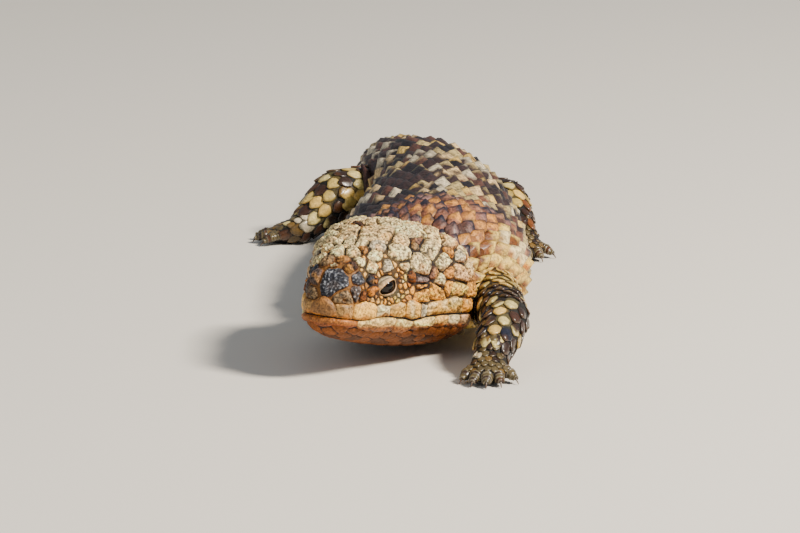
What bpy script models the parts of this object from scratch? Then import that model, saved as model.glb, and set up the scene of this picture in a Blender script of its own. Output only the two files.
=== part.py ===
"""Shingleback lizard, a still life-size model standing on the floor.

The animal faces -Y and its left side is +X. Units are metres, +Z is up and the floor is Z = 0.
The origin ends under the middle of the finished animal's bounding box.
"""

import math
import random

import bmesh
import bpy
from mathutils import Matrix, Vector

# General sizes
GAP = 0.0003  # between two nodes that touch
SEED = 7
FLOOR = 0.0

# Neck, torso and tail: the backbone seen from above and the body round it, scutes included.
# Each station is (x, y, half width, top, underside).
STATIONS = (
    (0.0044, -0.0990, 0.0206, 0.0372, 0.0056),  # behind the skull
    (0.0084, -0.0900, 0.0218, 0.0376, 0.0040),  # neck
    (0.0104, -0.0780, 0.0256, 0.0382, 0.0016),  # shoulders
    (0.0104, -0.0640, 0.0280, 0.0366, 0.0000),
    (0.0096, -0.0500, 0.0292, 0.0354, -0.0005),  # widest part of the trunk
    (0.0105, -0.0250, 0.0278, 0.0354, -0.0005),
    (0.0120, 0.0000, 0.0242, 0.0354, -0.0005),
    (0.0108, 0.0220, 0.0208, 0.0344, 0.0000),
    (0.0068, 0.0450, 0.0184, 0.0322, 0.0012),  # hips
    (0.0036, 0.0620, 0.0168, 0.0290, 0.0014),  # vent
    (0.0012, 0.0780, 0.0156, 0.0260, 0.0004),
    (0.0000, 0.0930, 0.0147, 0.0234, -0.0004),
    (-0.0010, 0.1070, 0.0132, 0.0206, -0.0004),
    (-0.0018, 0.1170, 0.0112, 0.0175, -0.0003),
    (-0.0021, 0.1228, 0.0082, 0.0144, 0.0002),
    (-0.0023, 0.1256, 0.0040, 0.0104, 0.0034),  # tip of the tail
)
NECK_STATION = 1
VENT_STATION = 9
WIDEST_HEIGHT = 0.42  # of the body's height, where it is widest
UPPER_ROUNDNESS = 1.95  # superellipse exponents of the section
LOWER_ROUNDNESS = 2.9

# Scutes of the body: each row is low in front and raised behind, like a pine cone's
SCUTE_RISE = 0.0015
SCUTE_POINT = 0.17  # how far a scute's middle reaches back, of its row's length
SCUTE_VARIES = 0.22
NECK_ROWS, TORSO_ROWS, TAIL_ROWS = 2, 18, 8
BODY_COLUMNS = 36
LIMB_RISE = 0.0006
LIMB_SWELL = 0.06
LIMB_COLUMNS = 12
BELLY_SCUTE = 0.12  # rise on the belly, of the rise on the back

# Head, in its own axes: d runs back from the snout, u up from the mouth line.
# Each station is (d, half width, height of the crown, depth of the jaw).
HEAD_STATIONS = (
    (0.0000, 0.0016, 0.0040, 0.0012),
    (0.0010, 0.0048, 0.0088, 0.0032),
    (0.0030, 0.0072, 0.0128, 0.0046),
    (0.0070, 0.0095, 0.0161, 0.0060),
    (0.0130, 0.0120, 0.0186, 0.0073),
    (0.0200, 0.0150, 0.0207, 0.0084),
    (0.0300, 0.0197, 0.0229, 0.0098),
    (0.0400, 0.0230, 0.0243, 0.0106),
    (0.0470, 0.0248, 0.0238, 0.0104),
    (0.0545, 0.0220, 0.0210, 0.0080),
)
HEAD_LENGTH = HEAD_STATIONS[-1][0]
SNOUT = Vector((-0.0220, -0.1512, 0.0192))  # the front of the mouth line
HEAD_YAW = math.radians(25)  # turned to the animal's right
HEAD_PITCH = math.radians(7.5)  # nose up
HEAD_ROLL = math.radians(3)  # its right side up
HEAD_ROUNDNESS = 3.0
JAW_ROUNDNESS = 2.1
HEAD_COLUMNS = 20
HEAD_RINGS = 12
MOUTH_GAP = 0.0005
JAW_INSET = 0.0007

# Shields of the head: small in front and large behind
SHIELD_PITCH = (0.0056, 0.0080)
SHIELD_RISE = 0.0012
SHIELD_ROOT = 0.0010
SHIELD_TOP = 0.72  # of the shield's size at its root
SHIELD_VARIES = 0.14
SHIELD_FRONT, SHIELD_BACK = 0.0050, 0.0525
NASAL_LENGTH = 0.0072
LABIAL_HEIGHT = 0.0036
LABIAL_LENGTH = 0.0066
LABIAL_COUNT = 7
LIP_RISE = 0.0006

# Eyes, ears and nostrils, as (d, u) on the side of the head
EYE_AT = (0.0150, 0.0088)
EYE_RADIUS = 0.0028
EYE_SINK = 0.0014
LID_THICKNESS = 0.0011
LID_OPENING = (0.0019, 0.0013)  # half length and half height
EAR_AT = (0.0488, 0.0082)
EAR_SIZE = (0.0016, 0.0026)
NOSTRIL_AT = (0.0012, 0.0050)
NOSTRIL_RADIUS = 0.0007

# Limbs: (x, y, z, radius) at the root inside the body, the elbow or knee, and the wrist or ankle,
# then the direction of the foot on the floor in degrees from +X, the size of its digits and
# how much of the upper limb belongs to the torso
LIMBS = {
    "front_left": {
        "joints": ((0.0258, -0.0820, 0.0120, 0.0078), (0.0306, -0.1275, 0.0126, 0.0064),
                   (0.0266, -0.1415, 0.0072, 0.0054)),
        "heading": -95, "spread": 15, "palm": 0.0054, "digit": 0.0062, "inner": -1,
        "stump": 0.46,
    },
    "front_right": {
        "joints": ((0.0000, -0.0670, 0.0150, 0.0080), (-0.0178, -0.0612, 0.0140, 0.0062),
                   (-0.0194, -0.0716, 0.0072, 0.0052)),
        "heading": -88, "spread": 15, "palm": 0.0054, "digit": 0.0062, "inner": 1,
        "stump": 0.58,
    },
    "hind_left": {
        "joints": ((0.0120, 0.0480, 0.0120, 0.0084), (0.0335, 0.0360, 0.0130, 0.0072),
                   (0.0376, 0.0228, 0.0072, 0.0052)),
        "heading": -84, "spread": 16, "palm": 0.0054, "digit": 0.0070, "inner": -1,
        "stump": 0.50,
    },
    "hind_right": {
        "joints": ((-0.0010, 0.0530, 0.0130, 0.0084), (-0.0198, 0.0425, 0.0138, 0.0082),
                   (-0.0290, 0.0362, 0.0070, 0.0054)),
        "heading": 160, "spread": 22, "palm": 0.0054, "digit": 0.0066, "inner": 1,
        "stump": 0.50,
    },
}
DIGIT_LENGTHS = (0.66, 0.92, 1.04, 1.00, 0.76)  # inner to outer, of the limb's digit size
THUMB_TURN = 1.5  # how much farther the inner digit stands out than the outer one
DIGIT_RADIUS = 0.0016
PALM_SHAPES = (  # ahead of the heel, height of the middle, share of the palm's half width, half height
    (0.0010, 0.0046, 0.92, 0.0046),
    (0.0048, 0.0034, 1.06, 0.0036),
    (0.0082, 0.0027, 1.00, 0.0028),
    (0.0102, 0.0023, 0.70, 0.0018),
)
CLAW_LENGTH = 0.0026
CLAW_RADIUS = 0.0009

COLOURS = {
    "skin": (0.30, 0.17, 0.10),
    "head": (0.62, 0.42, 0.24),
    "jaw": (0.70, 0.46, 0.24),
    "limb": (0.22, 0.15, 0.09),
    "eye": (0.05, 0.03, 0.02),
}


def clear_scene():
    for item in list(bpy.data.objects):
        bpy.data.objects.remove(item, do_unlink=True)


def spline(table, position, field):
    """Cubic through one field of a table whose first field, or given keys, is the position."""
    keys = [row[0] for row in table]
    values = [row[field] for row in table]
    last = len(keys) - 1
    i = 0
    while i < last - 1 and position > keys[i + 1]:
        i += 1
    span = keys[i + 1] - keys[i]
    share = (position - keys[i]) / span

    def slope(k):
        low, high = max(k - 1, 0), min(k + 1, last)
        return (values[high] - values[low]) / (keys[high] - keys[low])

    cube, square = share ** 3, share ** 2
    return (
        (2 * cube - 3 * square + 1) * values[i]
        + (cube - 2 * square + share) * span * slope(i)
        + (3 * square - 2 * cube) * values[i + 1]
        + (cube - square) * span * slope(i + 1)
    )


def run_of(points):
    """Distance along a chain of points, at each of them."""
    run = [0.0]
    for before, after in zip(points, points[1:]):
        run.append(run[-1] + (Vector(after) - Vector(before)).length)
    return run


BODY_RUN = run_of([(x, y, 0) for x, y, *_ in STATIONS])
BODY_TABLE = [(run, *row) for run, row in zip(BODY_RUN, STATIONS)]
BODY_LENGTH = BODY_RUN[-1]
NECK_END = BODY_RUN[NECK_STATION]
TORSO_END = BODY_RUN[VENT_STATION]


def power(value, exponent):
    return math.copysign(abs(value) ** exponent, value)


def body_axes(run):
    """Middle of the backbone above the floor, and the direction to the animal's left."""
    step = 0.001
    here = [spline(BODY_TABLE, run, field) for field in (1, 2)]
    low = [spline(BODY_TABLE, max(run - step, 0), field) for field in (1, 2)]
    high = [spline(BODY_TABLE, min(run + step, BODY_LENGTH), field) for field in (1, 2)]
    along = Vector((high[0] - low[0], high[1] - low[1], 0)).normalized()
    return Vector((here[0], here[1], 0)), Vector((along.y, -along.x, 0))


def body_point(run, angle, lift):
    """A point of the body: angle 0 is the middle of the back, positive to the left."""
    middle, left = body_axes(run)
    half, top, under = (spline(BODY_TABLE, run, field) for field in (3, 4, 5))
    half -= SCUTE_RISE
    top -= SCUTE_RISE
    waist = under + WIDEST_HEIGHT * (top - under)
    roundness = UPPER_ROUNDNESS if math.cos(angle) > 0 else LOWER_ROUNDNESS
    height = top - waist if math.cos(angle) > 0 else waist - under
    across = power(math.sin(angle), 2 / roundness)
    upward = power(math.cos(angle), 2 / roundness)
    point = middle + left * half * across + Vector((0, 0, waist + height * upward))
    outward = left * math.sin(angle) / half + Vector((0, 0, math.cos(angle) / height))
    point += outward.normalized() * lift
    point.z = max(point.z, FLOOR)
    return point


def even_angles(columns, at):
    """Angles that divide the body's section at one place into equal steps."""
    fine = 720
    ring = [body_point(at, math.tau * i / fine, 0) for i in range(fine + 1)]
    run = run_of(ring)
    angles, i = [], 0
    for k in range(columns):
        wanted = run[-1] * k / columns
        while run[i + 1] < wanted:
            i += 1
        angles.append(math.tau * i / fine)
    return angles


def back_share(angle):
    """1 on the back and flanks, falling to the belly's share underneath."""
    under = max(0.0, -math.cos(angle) - 0.15) / 0.45
    return 1 + (BELLY_SCUTE - 1) * min(1.0, under)


def scute_rings(rows, columns, rise, draw, share=None):
    """Rings of a scaled tube: for each, (place of each column along the tube, lift of each column).

    The places run from 0 to 1. Columns take turns as the middle and the edge of a scute.
    """
    share = share or [1.0] * columns
    step = 1 / rows
    rings = []
    for row in range(rows):
        middle = [(column + row) % 2 == 0 for column in range(columns)]
        size = [1 + SCUTE_VARIES * draw.uniform(-1, 1) for _ in range(columns)]
        front = row * step
        end = (row + 1) * step
        first, last = row == 0, row == rows - 1
        front_places, mid_places, end_places = [], [], []
        lifts = []
        for column in range(columns):
            reach = SCUTE_POINT * step * min(1.0, share[column] * 2)
            point = reach if middle[column] else -reach
            front_places.append(front if first else front - point * 0.8 + 0.04 * step)
            mid_places.append(front + step * (0.50 if middle[column] else 0.42))
            end_places.append(end if last else end + point)
            tall = rise * share[column] * size[column]
            lifts.append((0.0, tall * (0.72 if middle[column] else 0.1),
                          tall * (1.0 if middle[column] else 0.30)))
        for places, field in ((front_places, 0), (mid_places, 1), (end_places, 2)):
            rings.append((places, [lift[field] for lift in lifts]))
    return rings


def loft(name, rings):
    """A closed mesh through rings of points that each have as many points."""
    shape = bmesh.new()
    made = [[shape.verts.new(point) for point in ring] for ring in rings]
    columns = len(rings[0])
    for before, after in zip(made, made[1:]):
        for i in range(columns):
            j = (i + 1) % columns
            shape.faces.new((before[i], before[j], after[j], after[i]))
    for ring in (made[0], made[-1]):
        middle = shape.verts.new(sum((v.co for v in ring), Vector()) / columns)
        for i in range(columns):
            shape.faces.new((ring[i], ring[(i + 1) % columns], middle))
    bmesh.ops.recalc_face_normals(shape, faces=shape.faces)
    if shape.calc_volume(signed=True) < 0:
        bmesh.ops.reverse_faces(shape, faces=shape.faces)
    mesh = bpy.data.meshes.new(name)
    shape.to_mesh(mesh)
    shape.free()
    return mesh


def add_object(name, mesh, collection):
    made = bpy.data.objects.new(name, mesh)
    collection.objects.link(made)
    if collection.hide_render:
        made.hide_render = True
        made.display_type = "WIRE"
    return made


def new_collection(name, hidden=False):
    made = bpy.data.collections.new(name)
    bpy.context.scene.collection.children.link(made)
    made.hide_render = hidden
    return made


def apply_modifiers(target):
    """Replaces the object's mesh by its evaluated one, and clears its modifiers."""
    graph = bpy.context.evaluated_depsgraph_get()
    graph.update()
    mesh = bpy.data.meshes.new_from_object(target.evaluated_get(graph))
    target.modifiers.clear()
    target.data = mesh


def keep_largest(target):
    """Keeps the largest closed surface of a mesh."""
    shape = bmesh.new()
    shape.from_mesh(target.data)
    shape.verts.ensure_lookup_table()
    seen, groups = set(), []
    for start in shape.verts:
        if start.index in seen:
            continue
        group, edge = {start}, [start]
        seen.add(start.index)
        while edge:
            vertex = edge.pop()
            for link in vertex.link_edges:
                other = link.other_vert(vertex)
                if other.index not in seen:
                    seen.add(other.index)
                    group.add(other)
                    edge.append(other)
        groups.append(group)
    groups.sort(key=len)
    for group in groups[:-1]:
        bmesh.ops.delete(shape, geom=list(group), context="VERTS")
    shape.to_mesh(target.data)
    shape.free()


def combine(target, pieces, operation, solver="EXACT"):
    """One Boolean with a collection of closed pieces, applied, with the pieces then removed."""
    tool = target.modifiers.new(operation.lower(), "BOOLEAN")
    tool.operation = operation
    tool.operand_type = "COLLECTION"
    tool.collection = pieces
    tool.solver = solver
    apply_modifiers(target)
    for piece in list(pieces.objects):
        bpy.data.objects.remove(piece, do_unlink=True)
    bpy.data.collections.remove(pieces)
    keep_largest(target)


def finish(target, look, sharp_degrees=28):
    """Material and shading of a node."""
    material = bpy.data.materials.get(look)
    if material is None:
        material = bpy.data.materials.new(look)
        material.use_nodes = True
        shader = material.node_tree.nodes["Principled BSDF"]
        shader.inputs["Base Color"].default_value = (*COLOURS[look], 1)
        shader.inputs["Roughness"].default_value = 0.12 if look == "eye" else 0.6
        shader.inputs["Metallic"].default_value = 0.0
    target.data.materials.clear()
    target.data.materials.append(material)
    target.data.shade_smooth()
    target.data.set_sharp_from_angle(angle=math.radians(sharp_degrees))


def ellipsoid(name, centre, axes, radii, segments, rings, collection):
    """A closed ellipsoid along three given axes."""
    shape = bmesh.new()
    bmesh.ops.create_uvsphere(shape, u_segments=segments, v_segments=rings, radius=1)
    turn = Matrix([axis * radius for axis, radius in zip(axes, radii)]).transposed().to_4x4()
    turn.translation = centre
    bmesh.ops.transform(shape, matrix=turn, verts=shape.verts)
    if shape.calc_volume(signed=True) < 0:
        bmesh.ops.reverse_faces(shape, faces=shape.faces)
    mesh = bpy.data.meshes.new(name)
    shape.to_mesh(mesh)
    shape.free()
    return add_object(name, mesh, collection)


def body_tube(name, begin, end, rows, draw):
    """A length of the body with its rows of scutes, flat at both ends."""
    angles = even_angles(BODY_COLUMNS, (begin + end) / 2)
    share = [back_share(angle) for angle in angles]
    rings = []
    for places, lifts in scute_rings(rows, BODY_COLUMNS, SCUTE_RISE, draw, share):
        rings.append([
            body_point(begin + (end - begin) * place, angle, lift)
            for place, lift, angle in zip(places, lifts, angles)
        ])
    return loft(name, rings)


def skull_point(angle, reach):
    """A point of the head's rear face, or of a smaller face that stands back from it."""
    half, crown, depth = head_section(HEAD_LENGTH)
    inset = SCUTE_RISE if math.cos(angle) > 0 else 0.0
    height = crown - inset if math.cos(angle) > 0 else depth
    across = (half - SCUTE_RISE) * power(math.sin(angle), 2 / HEAD_ROUNDNESS)
    return head_place(HEAD_LENGTH + reach, across, height * power(math.cos(angle), 2 / HEAD_ROUNDNESS))


def neck_tube(draw):
    """The neck, which turns from the head's rear face to the trunk's front."""
    angles = even_angles(BODY_COLUMNS, NECK_END)
    share = [back_share(angle) for angle in angles]
    end = NECK_END - GAP / 2
    rings = []
    for places, lifts in scute_rings(NECK_ROWS, BODY_COLUMNS, SCUTE_RISE, draw, share):
        ring = []
        for place, lift, angle in zip(places, lifts, angles):
            blend = place * place * (3 - 2 * place)
            trunk = body_point(end * place, angle, lift)
            skull = skull_point(angle, GAP + end * place)
            skull += (trunk - body_point(end * place, angle, 0)) * (1 - blend)
            ring.append(skull.lerp(trunk, blend))
        rings.append(ring)
    return loft("neck", rings)


def make_body(collection, draw):
    neck = add_object("neck", neck_tube(draw), collection)
    torso_mesh = body_tube("torso", NECK_END + GAP / 2, TORSO_END - GAP / 2, TORSO_ROWS, draw)
    torso = add_object("torso", torso_mesh, collection)
    tail_mesh = body_tube("tail", TORSO_END + GAP / 2, BODY_LENGTH, TAIL_ROWS, draw)
    tail = add_object("tail", tail_mesh, collection)
    return neck, torso, tail


class Length:
    """A straight length of a limb between two planes, round in section.

    Each column of points runs along it between the planes, so bent limbs meet in a mitre.
    """

    def __init__(self, begin, end, before=None, after=None):
        self.begin = Vector(begin[:3])
        self.end = Vector(end[:3])
        self.radii = (begin[3], end[3])
        self.along = (self.end - self.begin).normalized()
        self.side = self.along.cross(Vector((0, 0, 1))).normalized()
        self.up = self.side.cross(self.along)
        self.planes = (self.plane(before), self.plane(after))

    def plane(self, neighbour):
        """Normal of the plane shared with a neighbour that runs in the given direction."""
        return (self.along + neighbour).normalized() if neighbour else self.along

    def part(self, low, high):
        """The same length between two shares of it, cut square at the new ends."""
        points = [(*self.begin.lerp(self.end, share), self.radius(share)) for share in (low, high)]
        made = Length(*points)
        made.planes = (self.planes[0] if low == 0 else self.along, self.planes[1] if high == 1 else self.along)
        return made

    def radius(self, share):
        swell = LIMB_SWELL * math.sin(math.pi * share)
        return (self.radii[0] * (1 - share) + self.radii[1] * share) * (1 + swell)

    def direction(self, column):
        angle = math.tau * column / LIMB_COLUMNS
        return self.up * math.cos(angle) + self.side * math.sin(angle)

    def on_plane(self, column, which, radius, gap):
        """Where a column meets the plane at one end, with the node standing back by a gap."""
        middle = self.end if which else self.begin
        normal = self.planes[which]
        point = middle + self.direction(column) * radius
        back = gap * (-1 if which else 1)
        return point + self.along * ((back - (point - middle).dot(normal)) / self.along.dot(normal))

    def ring(self, places, lifts, gaps=(0.0, 0.0)):
        points = []
        for column in range(LIMB_COLUMNS):
            share = places[column]
            radius = self.radius(share)
            low = self.on_plane(column, 0, radius, gaps[0])
            high = self.on_plane(column, 1, radius, gaps[1])
            points.append(low.lerp(high, share) + self.direction(column) * lifts[column])
        return points

    def plain_ring(self, share, lift=0.0, gaps=(0.0, 0.0)):
        return self.ring([share] * LIMB_COLUMNS, [lift] * LIMB_COLUMNS, gaps)

    def scaled(self, name, rows, gaps, draw):
        """The length as a mesh with rows of scutes."""
        rings = [
            self.ring(places, lifts, gaps)
            for places, lifts in scute_rings(rows, LIMB_COLUMNS, LIMB_RISE, draw)
        ]
        rings[0] = self.plain_ring(0, gaps=gaps)
        rings[-1] = self.plain_ring(1, gaps=gaps)
        return loft(name, rings)


def digit_pieces(base, heading, length, collection, name):
    """A digit that arches forward from the palm, with its claw, both closed."""
    ahead = Vector((math.cos(heading), math.sin(heading), 0))
    side = Vector((-ahead.y, ahead.x, 0))
    up = Vector((0, 0, 1))
    columns = 6
    profile = (  # along the digit as a share of its length, height, share of its radius
        (-0.35, 0.0022, 0.80), (0.20, 0.0030, 1.00), (0.80, 0.0024, 0.98), (1.05, 0.0016, 0.52),
    )
    rings = []
    for share, height, width in profile:
        centre = base + ahead * length * share + up * height
        radius = DIGIT_RADIUS * width
        ring = []
        for i in range(columns):
            angle = math.tau * i / columns
            point = centre + (side * math.cos(angle) + up * math.sin(angle)) * radius
            point.z = max(point.z, FLOOR)
            ring.append(point)
        rings.append(ring)
    add_object(name, loft(name, rings), collection)
    claw_profile = ((-0.45, 0.0017, 0.9), (0.10, 0.0019, 0.95), (1.0, 0.0004, 0.16))
    rings = []
    for share, height, width in claw_profile:
        centre = base + ahead * (length * 1.02 + CLAW_LENGTH * share) + up * height
        radius = CLAW_RADIUS * width
        ring = []
        for i in range(4):
            angle = math.tau * (i + 0.5) / 4
            point = centre + (side * math.cos(angle) * 0.9 + up * math.sin(angle)) * radius
            point.z = max(point.z, FLOOR)
            ring.append(point)
        rings.append(ring)
    add_object(name + "_claw", loft(name + "_claw", rings), collection)


def make_foot(name, limb, lower, collection):
    """The palm from the wrist on, joined with five clawed digits."""
    heading = math.radians(limb["heading"])
    ahead = Vector((math.cos(heading), math.sin(heading), 0))
    side = Vector((-ahead.y, ahead.x, 0))
    up = Vector((0, 0, 1))
    wrist = lower.end
    palm = limb["palm"]
    rings = [lower.plain_ring(1, gaps=(0, -GAP))]
    heel = Vector((wrist.x, wrist.y, 0)) + lower.along * 0.004
    heel.z = 0
    for reach, height, width, thick in PALM_SHAPES:
        ring = []
        for column in range(LIMB_COLUMNS):
            angle = math.tau * column / LIMB_COLUMNS
            point = heel + ahead * reach + up * height
            point += up * math.cos(angle) * thick - side * math.sin(angle) * palm * width
            point.z = max(point.z, FLOOR)
            ring.append(point)
        rings.append(ring)
    foot = add_object(name, loft(name, rings), collection)
    pieces = new_collection(name + "_digits", hidden=True)
    for i, size in enumerate(DIGIT_LENGTHS):
        turn = (i - 2) * math.radians(limb["spread"]) * limb["inner"] * (THUMB_TURN if i == 0 else 1)
        sideways = (i - 2) * palm * 0.42 * limb["inner"]
        reach = 0.0072 - 0.0008 * abs(i - 2) ** 1.5
        base = heel + ahead * reach + side * sideways
        digit_pieces(base, heading + turn, limb["digit"] * size, pieces, f"{name}_digit{i}")
    combine(foot, pieces, "UNION")
    return foot


def room_for(length, name, collection, low=0.0):
    """The space that a length of limb needs, from a share of it on."""
    clear = LIMB_RISE * (1 + SCUTE_VARIES) + GAP
    shares = [low + (1 - low) * i / 5 for i in range(6)]
    rings = [length.plain_ring(share, clear) for share in shares]
    add_object(name, loft(name, rings), collection)


def make_limb(name, limb, stumps, rooms, neck_rooms, collection, draw):
    """Upper limb, lower limb and foot, with the root that belongs to the torso."""
    root, joint, wrist = limb["joints"]
    share = limb["stump"]
    below = (Vector(wrist[:3]) - Vector(joint[:3])).normalized()
    upper = Length(root, joint, after=below)
    lower = Length(joint, wrist, before=upper.along)
    stump = upper.part(0, share)
    rings = [stump.plain_ring(place) for place in (0, 0.5, 1)]
    add_object(name + "_root", loft(name + "_root", rings), stumps)
    rest = upper.part(share, 1)
    room_for(upper, name + "_upper_room", neck_rooms)
    room_for(rest, name + "_rest_room", rooms)
    room_for(lower, name + "_lower_room", rooms)
    made = [
        add_object(name + "_upper", rest.scaled(name + "_upper", 4, (GAP, GAP / 2), draw), collection),
        add_object(name + "_lower", lower.scaled(name + "_lower", 4, (GAP / 2, 0), draw), collection),
        make_foot(name + "_foot", limb, lower, collection),
    ]
    for item in made:
        finish(item, "limb")


def head_axes():
    """Backward, left and up of the head."""
    back = Vector((
        math.sin(HEAD_YAW) * math.cos(HEAD_PITCH),
        math.cos(HEAD_YAW) * math.cos(HEAD_PITCH),
        -math.sin(HEAD_PITCH),
    ))
    level = Vector((math.cos(HEAD_YAW), -math.sin(HEAD_YAW), 0))
    up = level.cross(back)
    left = level * math.cos(HEAD_ROLL) - up * math.sin(HEAD_ROLL)
    return back, left, left.cross(back)


HEAD_BACK, HEAD_LEFT, HEAD_UP = head_axes()


def head_place(d, across, up):
    return SNOUT + HEAD_BACK * d + HEAD_LEFT * across + HEAD_UP * up


def head_section(d):
    return [spline(HEAD_STATIONS, d, field) for field in (1, 2, 3)]


def head_point(d, angle, lift=0.0):
    """A point of the upper head: angle 0 is the left lip and half a turn the right lip."""
    half, crown, _ = head_section(d)
    half -= SHIELD_RISE * 0.6
    crown -= SHIELD_RISE * 0.6
    across = half * power(math.cos(angle), 2 / HEAD_ROUNDNESS)
    up = crown * power(math.sin(angle), 2 / HEAD_ROUNDNESS)
    outward = HEAD_LEFT * math.cos(angle) / half + HEAD_UP * math.sin(angle) / crown
    return head_place(d, across, up + MOUTH_GAP / 2) + outward.normalized() * lift


def head_arcs(d, steps=48):
    """Distances round the head's left side from the midline of the crown, at equal steps of angle."""
    return run_of([head_point(d, math.pi / 2 * (1 - i / steps)) for i in range(steps + 1)])


def head_half_arc(d):
    """From the midline of the crown to the lip, round the head."""
    return head_arcs(max(0.0, min(HEAD_LENGTH, d)))[-1]


def head_by_arc(d, arc, lift):
    """A point of the upper head by its distance round from the crown, positive to the left."""
    d = max(0.0, min(HEAD_LENGTH, d))
    run = head_arcs(d)
    wanted = min(abs(arc), run[-1] * 0.99)
    i = 0
    while run[i + 1] < wanted:
        i += 1
    share = (i + (wanted - run[i]) / (run[i + 1] - run[i])) / (len(run) - 1)
    return head_point(d, math.pi / 2 * (1 - math.copysign(share, arc)), lift)


def side_angle(d, up):
    """The angle on the left side of the head at a height over the mouth line."""
    _, crown, _ = head_section(d)
    return math.asin(min(1.0, up / crown) ** (HEAD_ROUNDNESS / 2))


def make_head_core(collection):
    rings = []
    for i in range(HEAD_RINGS + 1):
        d = HEAD_LENGTH * (i / HEAD_RINGS) ** 1.5
        ring = [head_point(d, math.pi * k / HEAD_COLUMNS) for k in range(HEAD_COLUMNS + 1)]
        rings.append(ring)
    return add_object("head", loft("head", rings), collection)


def side_frame(at, side):
    """Outer point on the head's side and the axes outward, backward and upward there."""
    d, up = at
    angle = side_angle(d, up)
    if side < 0:
        angle = math.pi - angle
    point = head_point(d, angle)
    step = 0.0005
    backward = (head_point(d + step, angle) - head_point(d - step, angle)).normalized()
    around = (head_point(d, angle + step) - head_point(d, angle - step)).normalized()
    outward = backward.cross(around)
    if outward.dot(HEAD_LEFT * side) < 0:
        outward.negate()
    outward.normalize()
    upward = outward.cross(backward)
    if upward.z < 0:
        upward.negate()
    return point, outward, backward, upward


def make_eyes(collection, lids, cuts):
    """The eyes, the lids round them and the cuts that open both."""
    for name, side in (("eye_left", 1), ("eye_right", -1)):
        point, outward, backward, upward = side_frame(EYE_AT, side)
        centre = point - outward * EYE_SINK
        axes = (backward, upward, outward)
        eye = ellipsoid(name, centre, axes, [EYE_RADIUS] * 3, 12, 8, collection)
        finish(eye, "eye", 60)
        lid = EYE_RADIUS + LID_THICKNESS
        ellipsoid(name + "_lid", centre, axes, [lid] * 3, 14, 8, lids)
        socket = EYE_RADIUS + GAP
        ellipsoid(name + "_socket", centre, axes, [socket] * 3, 12, 8, cuts)
        opening = (*LID_OPENING, 0.004)
        ellipsoid(name + "_opening", centre + outward * 0.0035, axes, opening, 12, 8, cuts)


def make_side_openings(cuts):
    """Cups of the ears and nostrils."""
    for side in (1, -1):
        point, outward, backward, upward = side_frame(EAR_AT, side)
        axes = (backward, upward, outward)
        ellipsoid(f"ear{side}", point, axes, (*EAR_SIZE, 0.0022), 10, 6, cuts)
        point, outward, backward, upward = side_frame(NOSTRIL_AT, side)
        axes = (backward, upward, outward)
        ellipsoid(f"nostril{side}", point, axes, (NOSTRIL_RADIUS, NOSTRIL_RADIUS, 0.0016), 8, 6, cuts)


def plate(name, place, outline, collection, rise=SHIELD_RISE):
    """A closed plate with its root in the head; place gives the point for an outline's pair and a lift."""
    rings = []
    for scale, lift in ((1.0, -SHIELD_ROOT), (SHIELD_TOP, rise)):
        rings.append([place(across * scale, along * scale, lift) for across, along in outline])
    add_object(name, loft(name, rings), collection)


def polygon(sides, width, length):
    """Half sizes and number of sides to pairs round the outline, with a side in front."""
    angles = [math.tau * (i + 0.5) / sides + math.pi / 2 for i in range(sides)]
    return [(width * math.cos(angle), length * math.sin(angle)) for angle in angles]


def keeps_clear(d, arc, side_place, reach):
    """Whether a shield leaves room for a feature on the side of the head."""
    at_d, at_up = side_place
    angle = side_angle(at_d, at_up)
    steps = 48
    at_arc = head_arcs(at_d, steps)[round(steps * (1 - angle / (math.pi / 2)))]
    return math.hypot(d - at_d, abs(arc) - at_arc) > reach


def make_shields(pieces, draw):
    """Rows of many-sided shields over the crown and cheeks, one nasal shield and the lips."""
    row, d = 0, SHIELD_FRONT + NASAL_LENGTH
    while d < SHIELD_BACK:
        share = d / HEAD_LENGTH
        pitch = SHIELD_PITCH[0] * (1 - share) + SHIELD_PITCH[1] * share
        most = head_half_arc(d) - LABIAL_HEIGHT - pitch * 0.45
        count = int(most / pitch + 1)
        for place in range(-count, count + 1):
            arc = (place + 0.5 * (row % 2)) * pitch
            if abs(arc) > most:
                continue
            if not keeps_clear(d, arc, EYE_AT, 0.0060) or not keeps_clear(d, arc, EAR_AT, 0.0042):
                continue
            size = pitch * 0.55 * (1 + SHIELD_VARIES * draw.uniform(-1, 1))

            def on_crown(across, along, lift, d=d, arc=arc):
                return head_by_arc(d + along, arc + across, lift)

            plate(f"shield_{row}_{place}", on_crown, polygon(6, size, size * 0.94), pieces)
        d += pitch * 0.86
        row += 1

    def on_snout(across, along, lift):
        return head_by_arc(SHIELD_FRONT + NASAL_LENGTH * 0.3 + along, across, lift)

    plate("nasal", on_snout, polygon(8, 0.0050, NASAL_LENGTH * 0.62), pieces)


def make_lips(pieces, sign, place_from, start=0.0020):
    """A row of scales along both lips; sign is 1 over the mouth and -1 under it."""
    for side in (1, -1):
        for i in range(LABIAL_COUNT):
            centre = start + LABIAL_LENGTH * (i + 0.5)
            if centre > HEAD_LENGTH - LABIAL_LENGTH * 0.4:
                break

            def on_lip(across, along, lift, centre=centre, side=side):
                return place_from(centre + along, LABIAL_HEIGHT * 0.54 + across, side, lift)

            half = (LABIAL_HEIGHT * 0.50, LABIAL_LENGTH * 0.56)
            outline = [(-half[0], -half[1]), (half[0], -half[1] * 0.9), (half[0], half[1] * 0.9), (-half[0], half[1])]
            if side * sign < 0:
                outline.reverse()
            plate(f"lip_{sign}_{side}_{i}", on_lip, outline, pieces, LIP_RISE)


def upper_lip(d, height, side, lift):
    """A point of the upper head by its height over the mouth line."""
    d = max(0.0, min(HEAD_LENGTH, d))
    angle = side_angle(d, max(0.0002, height))
    return head_point(d, angle if side > 0 else math.pi - angle, lift)


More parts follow.
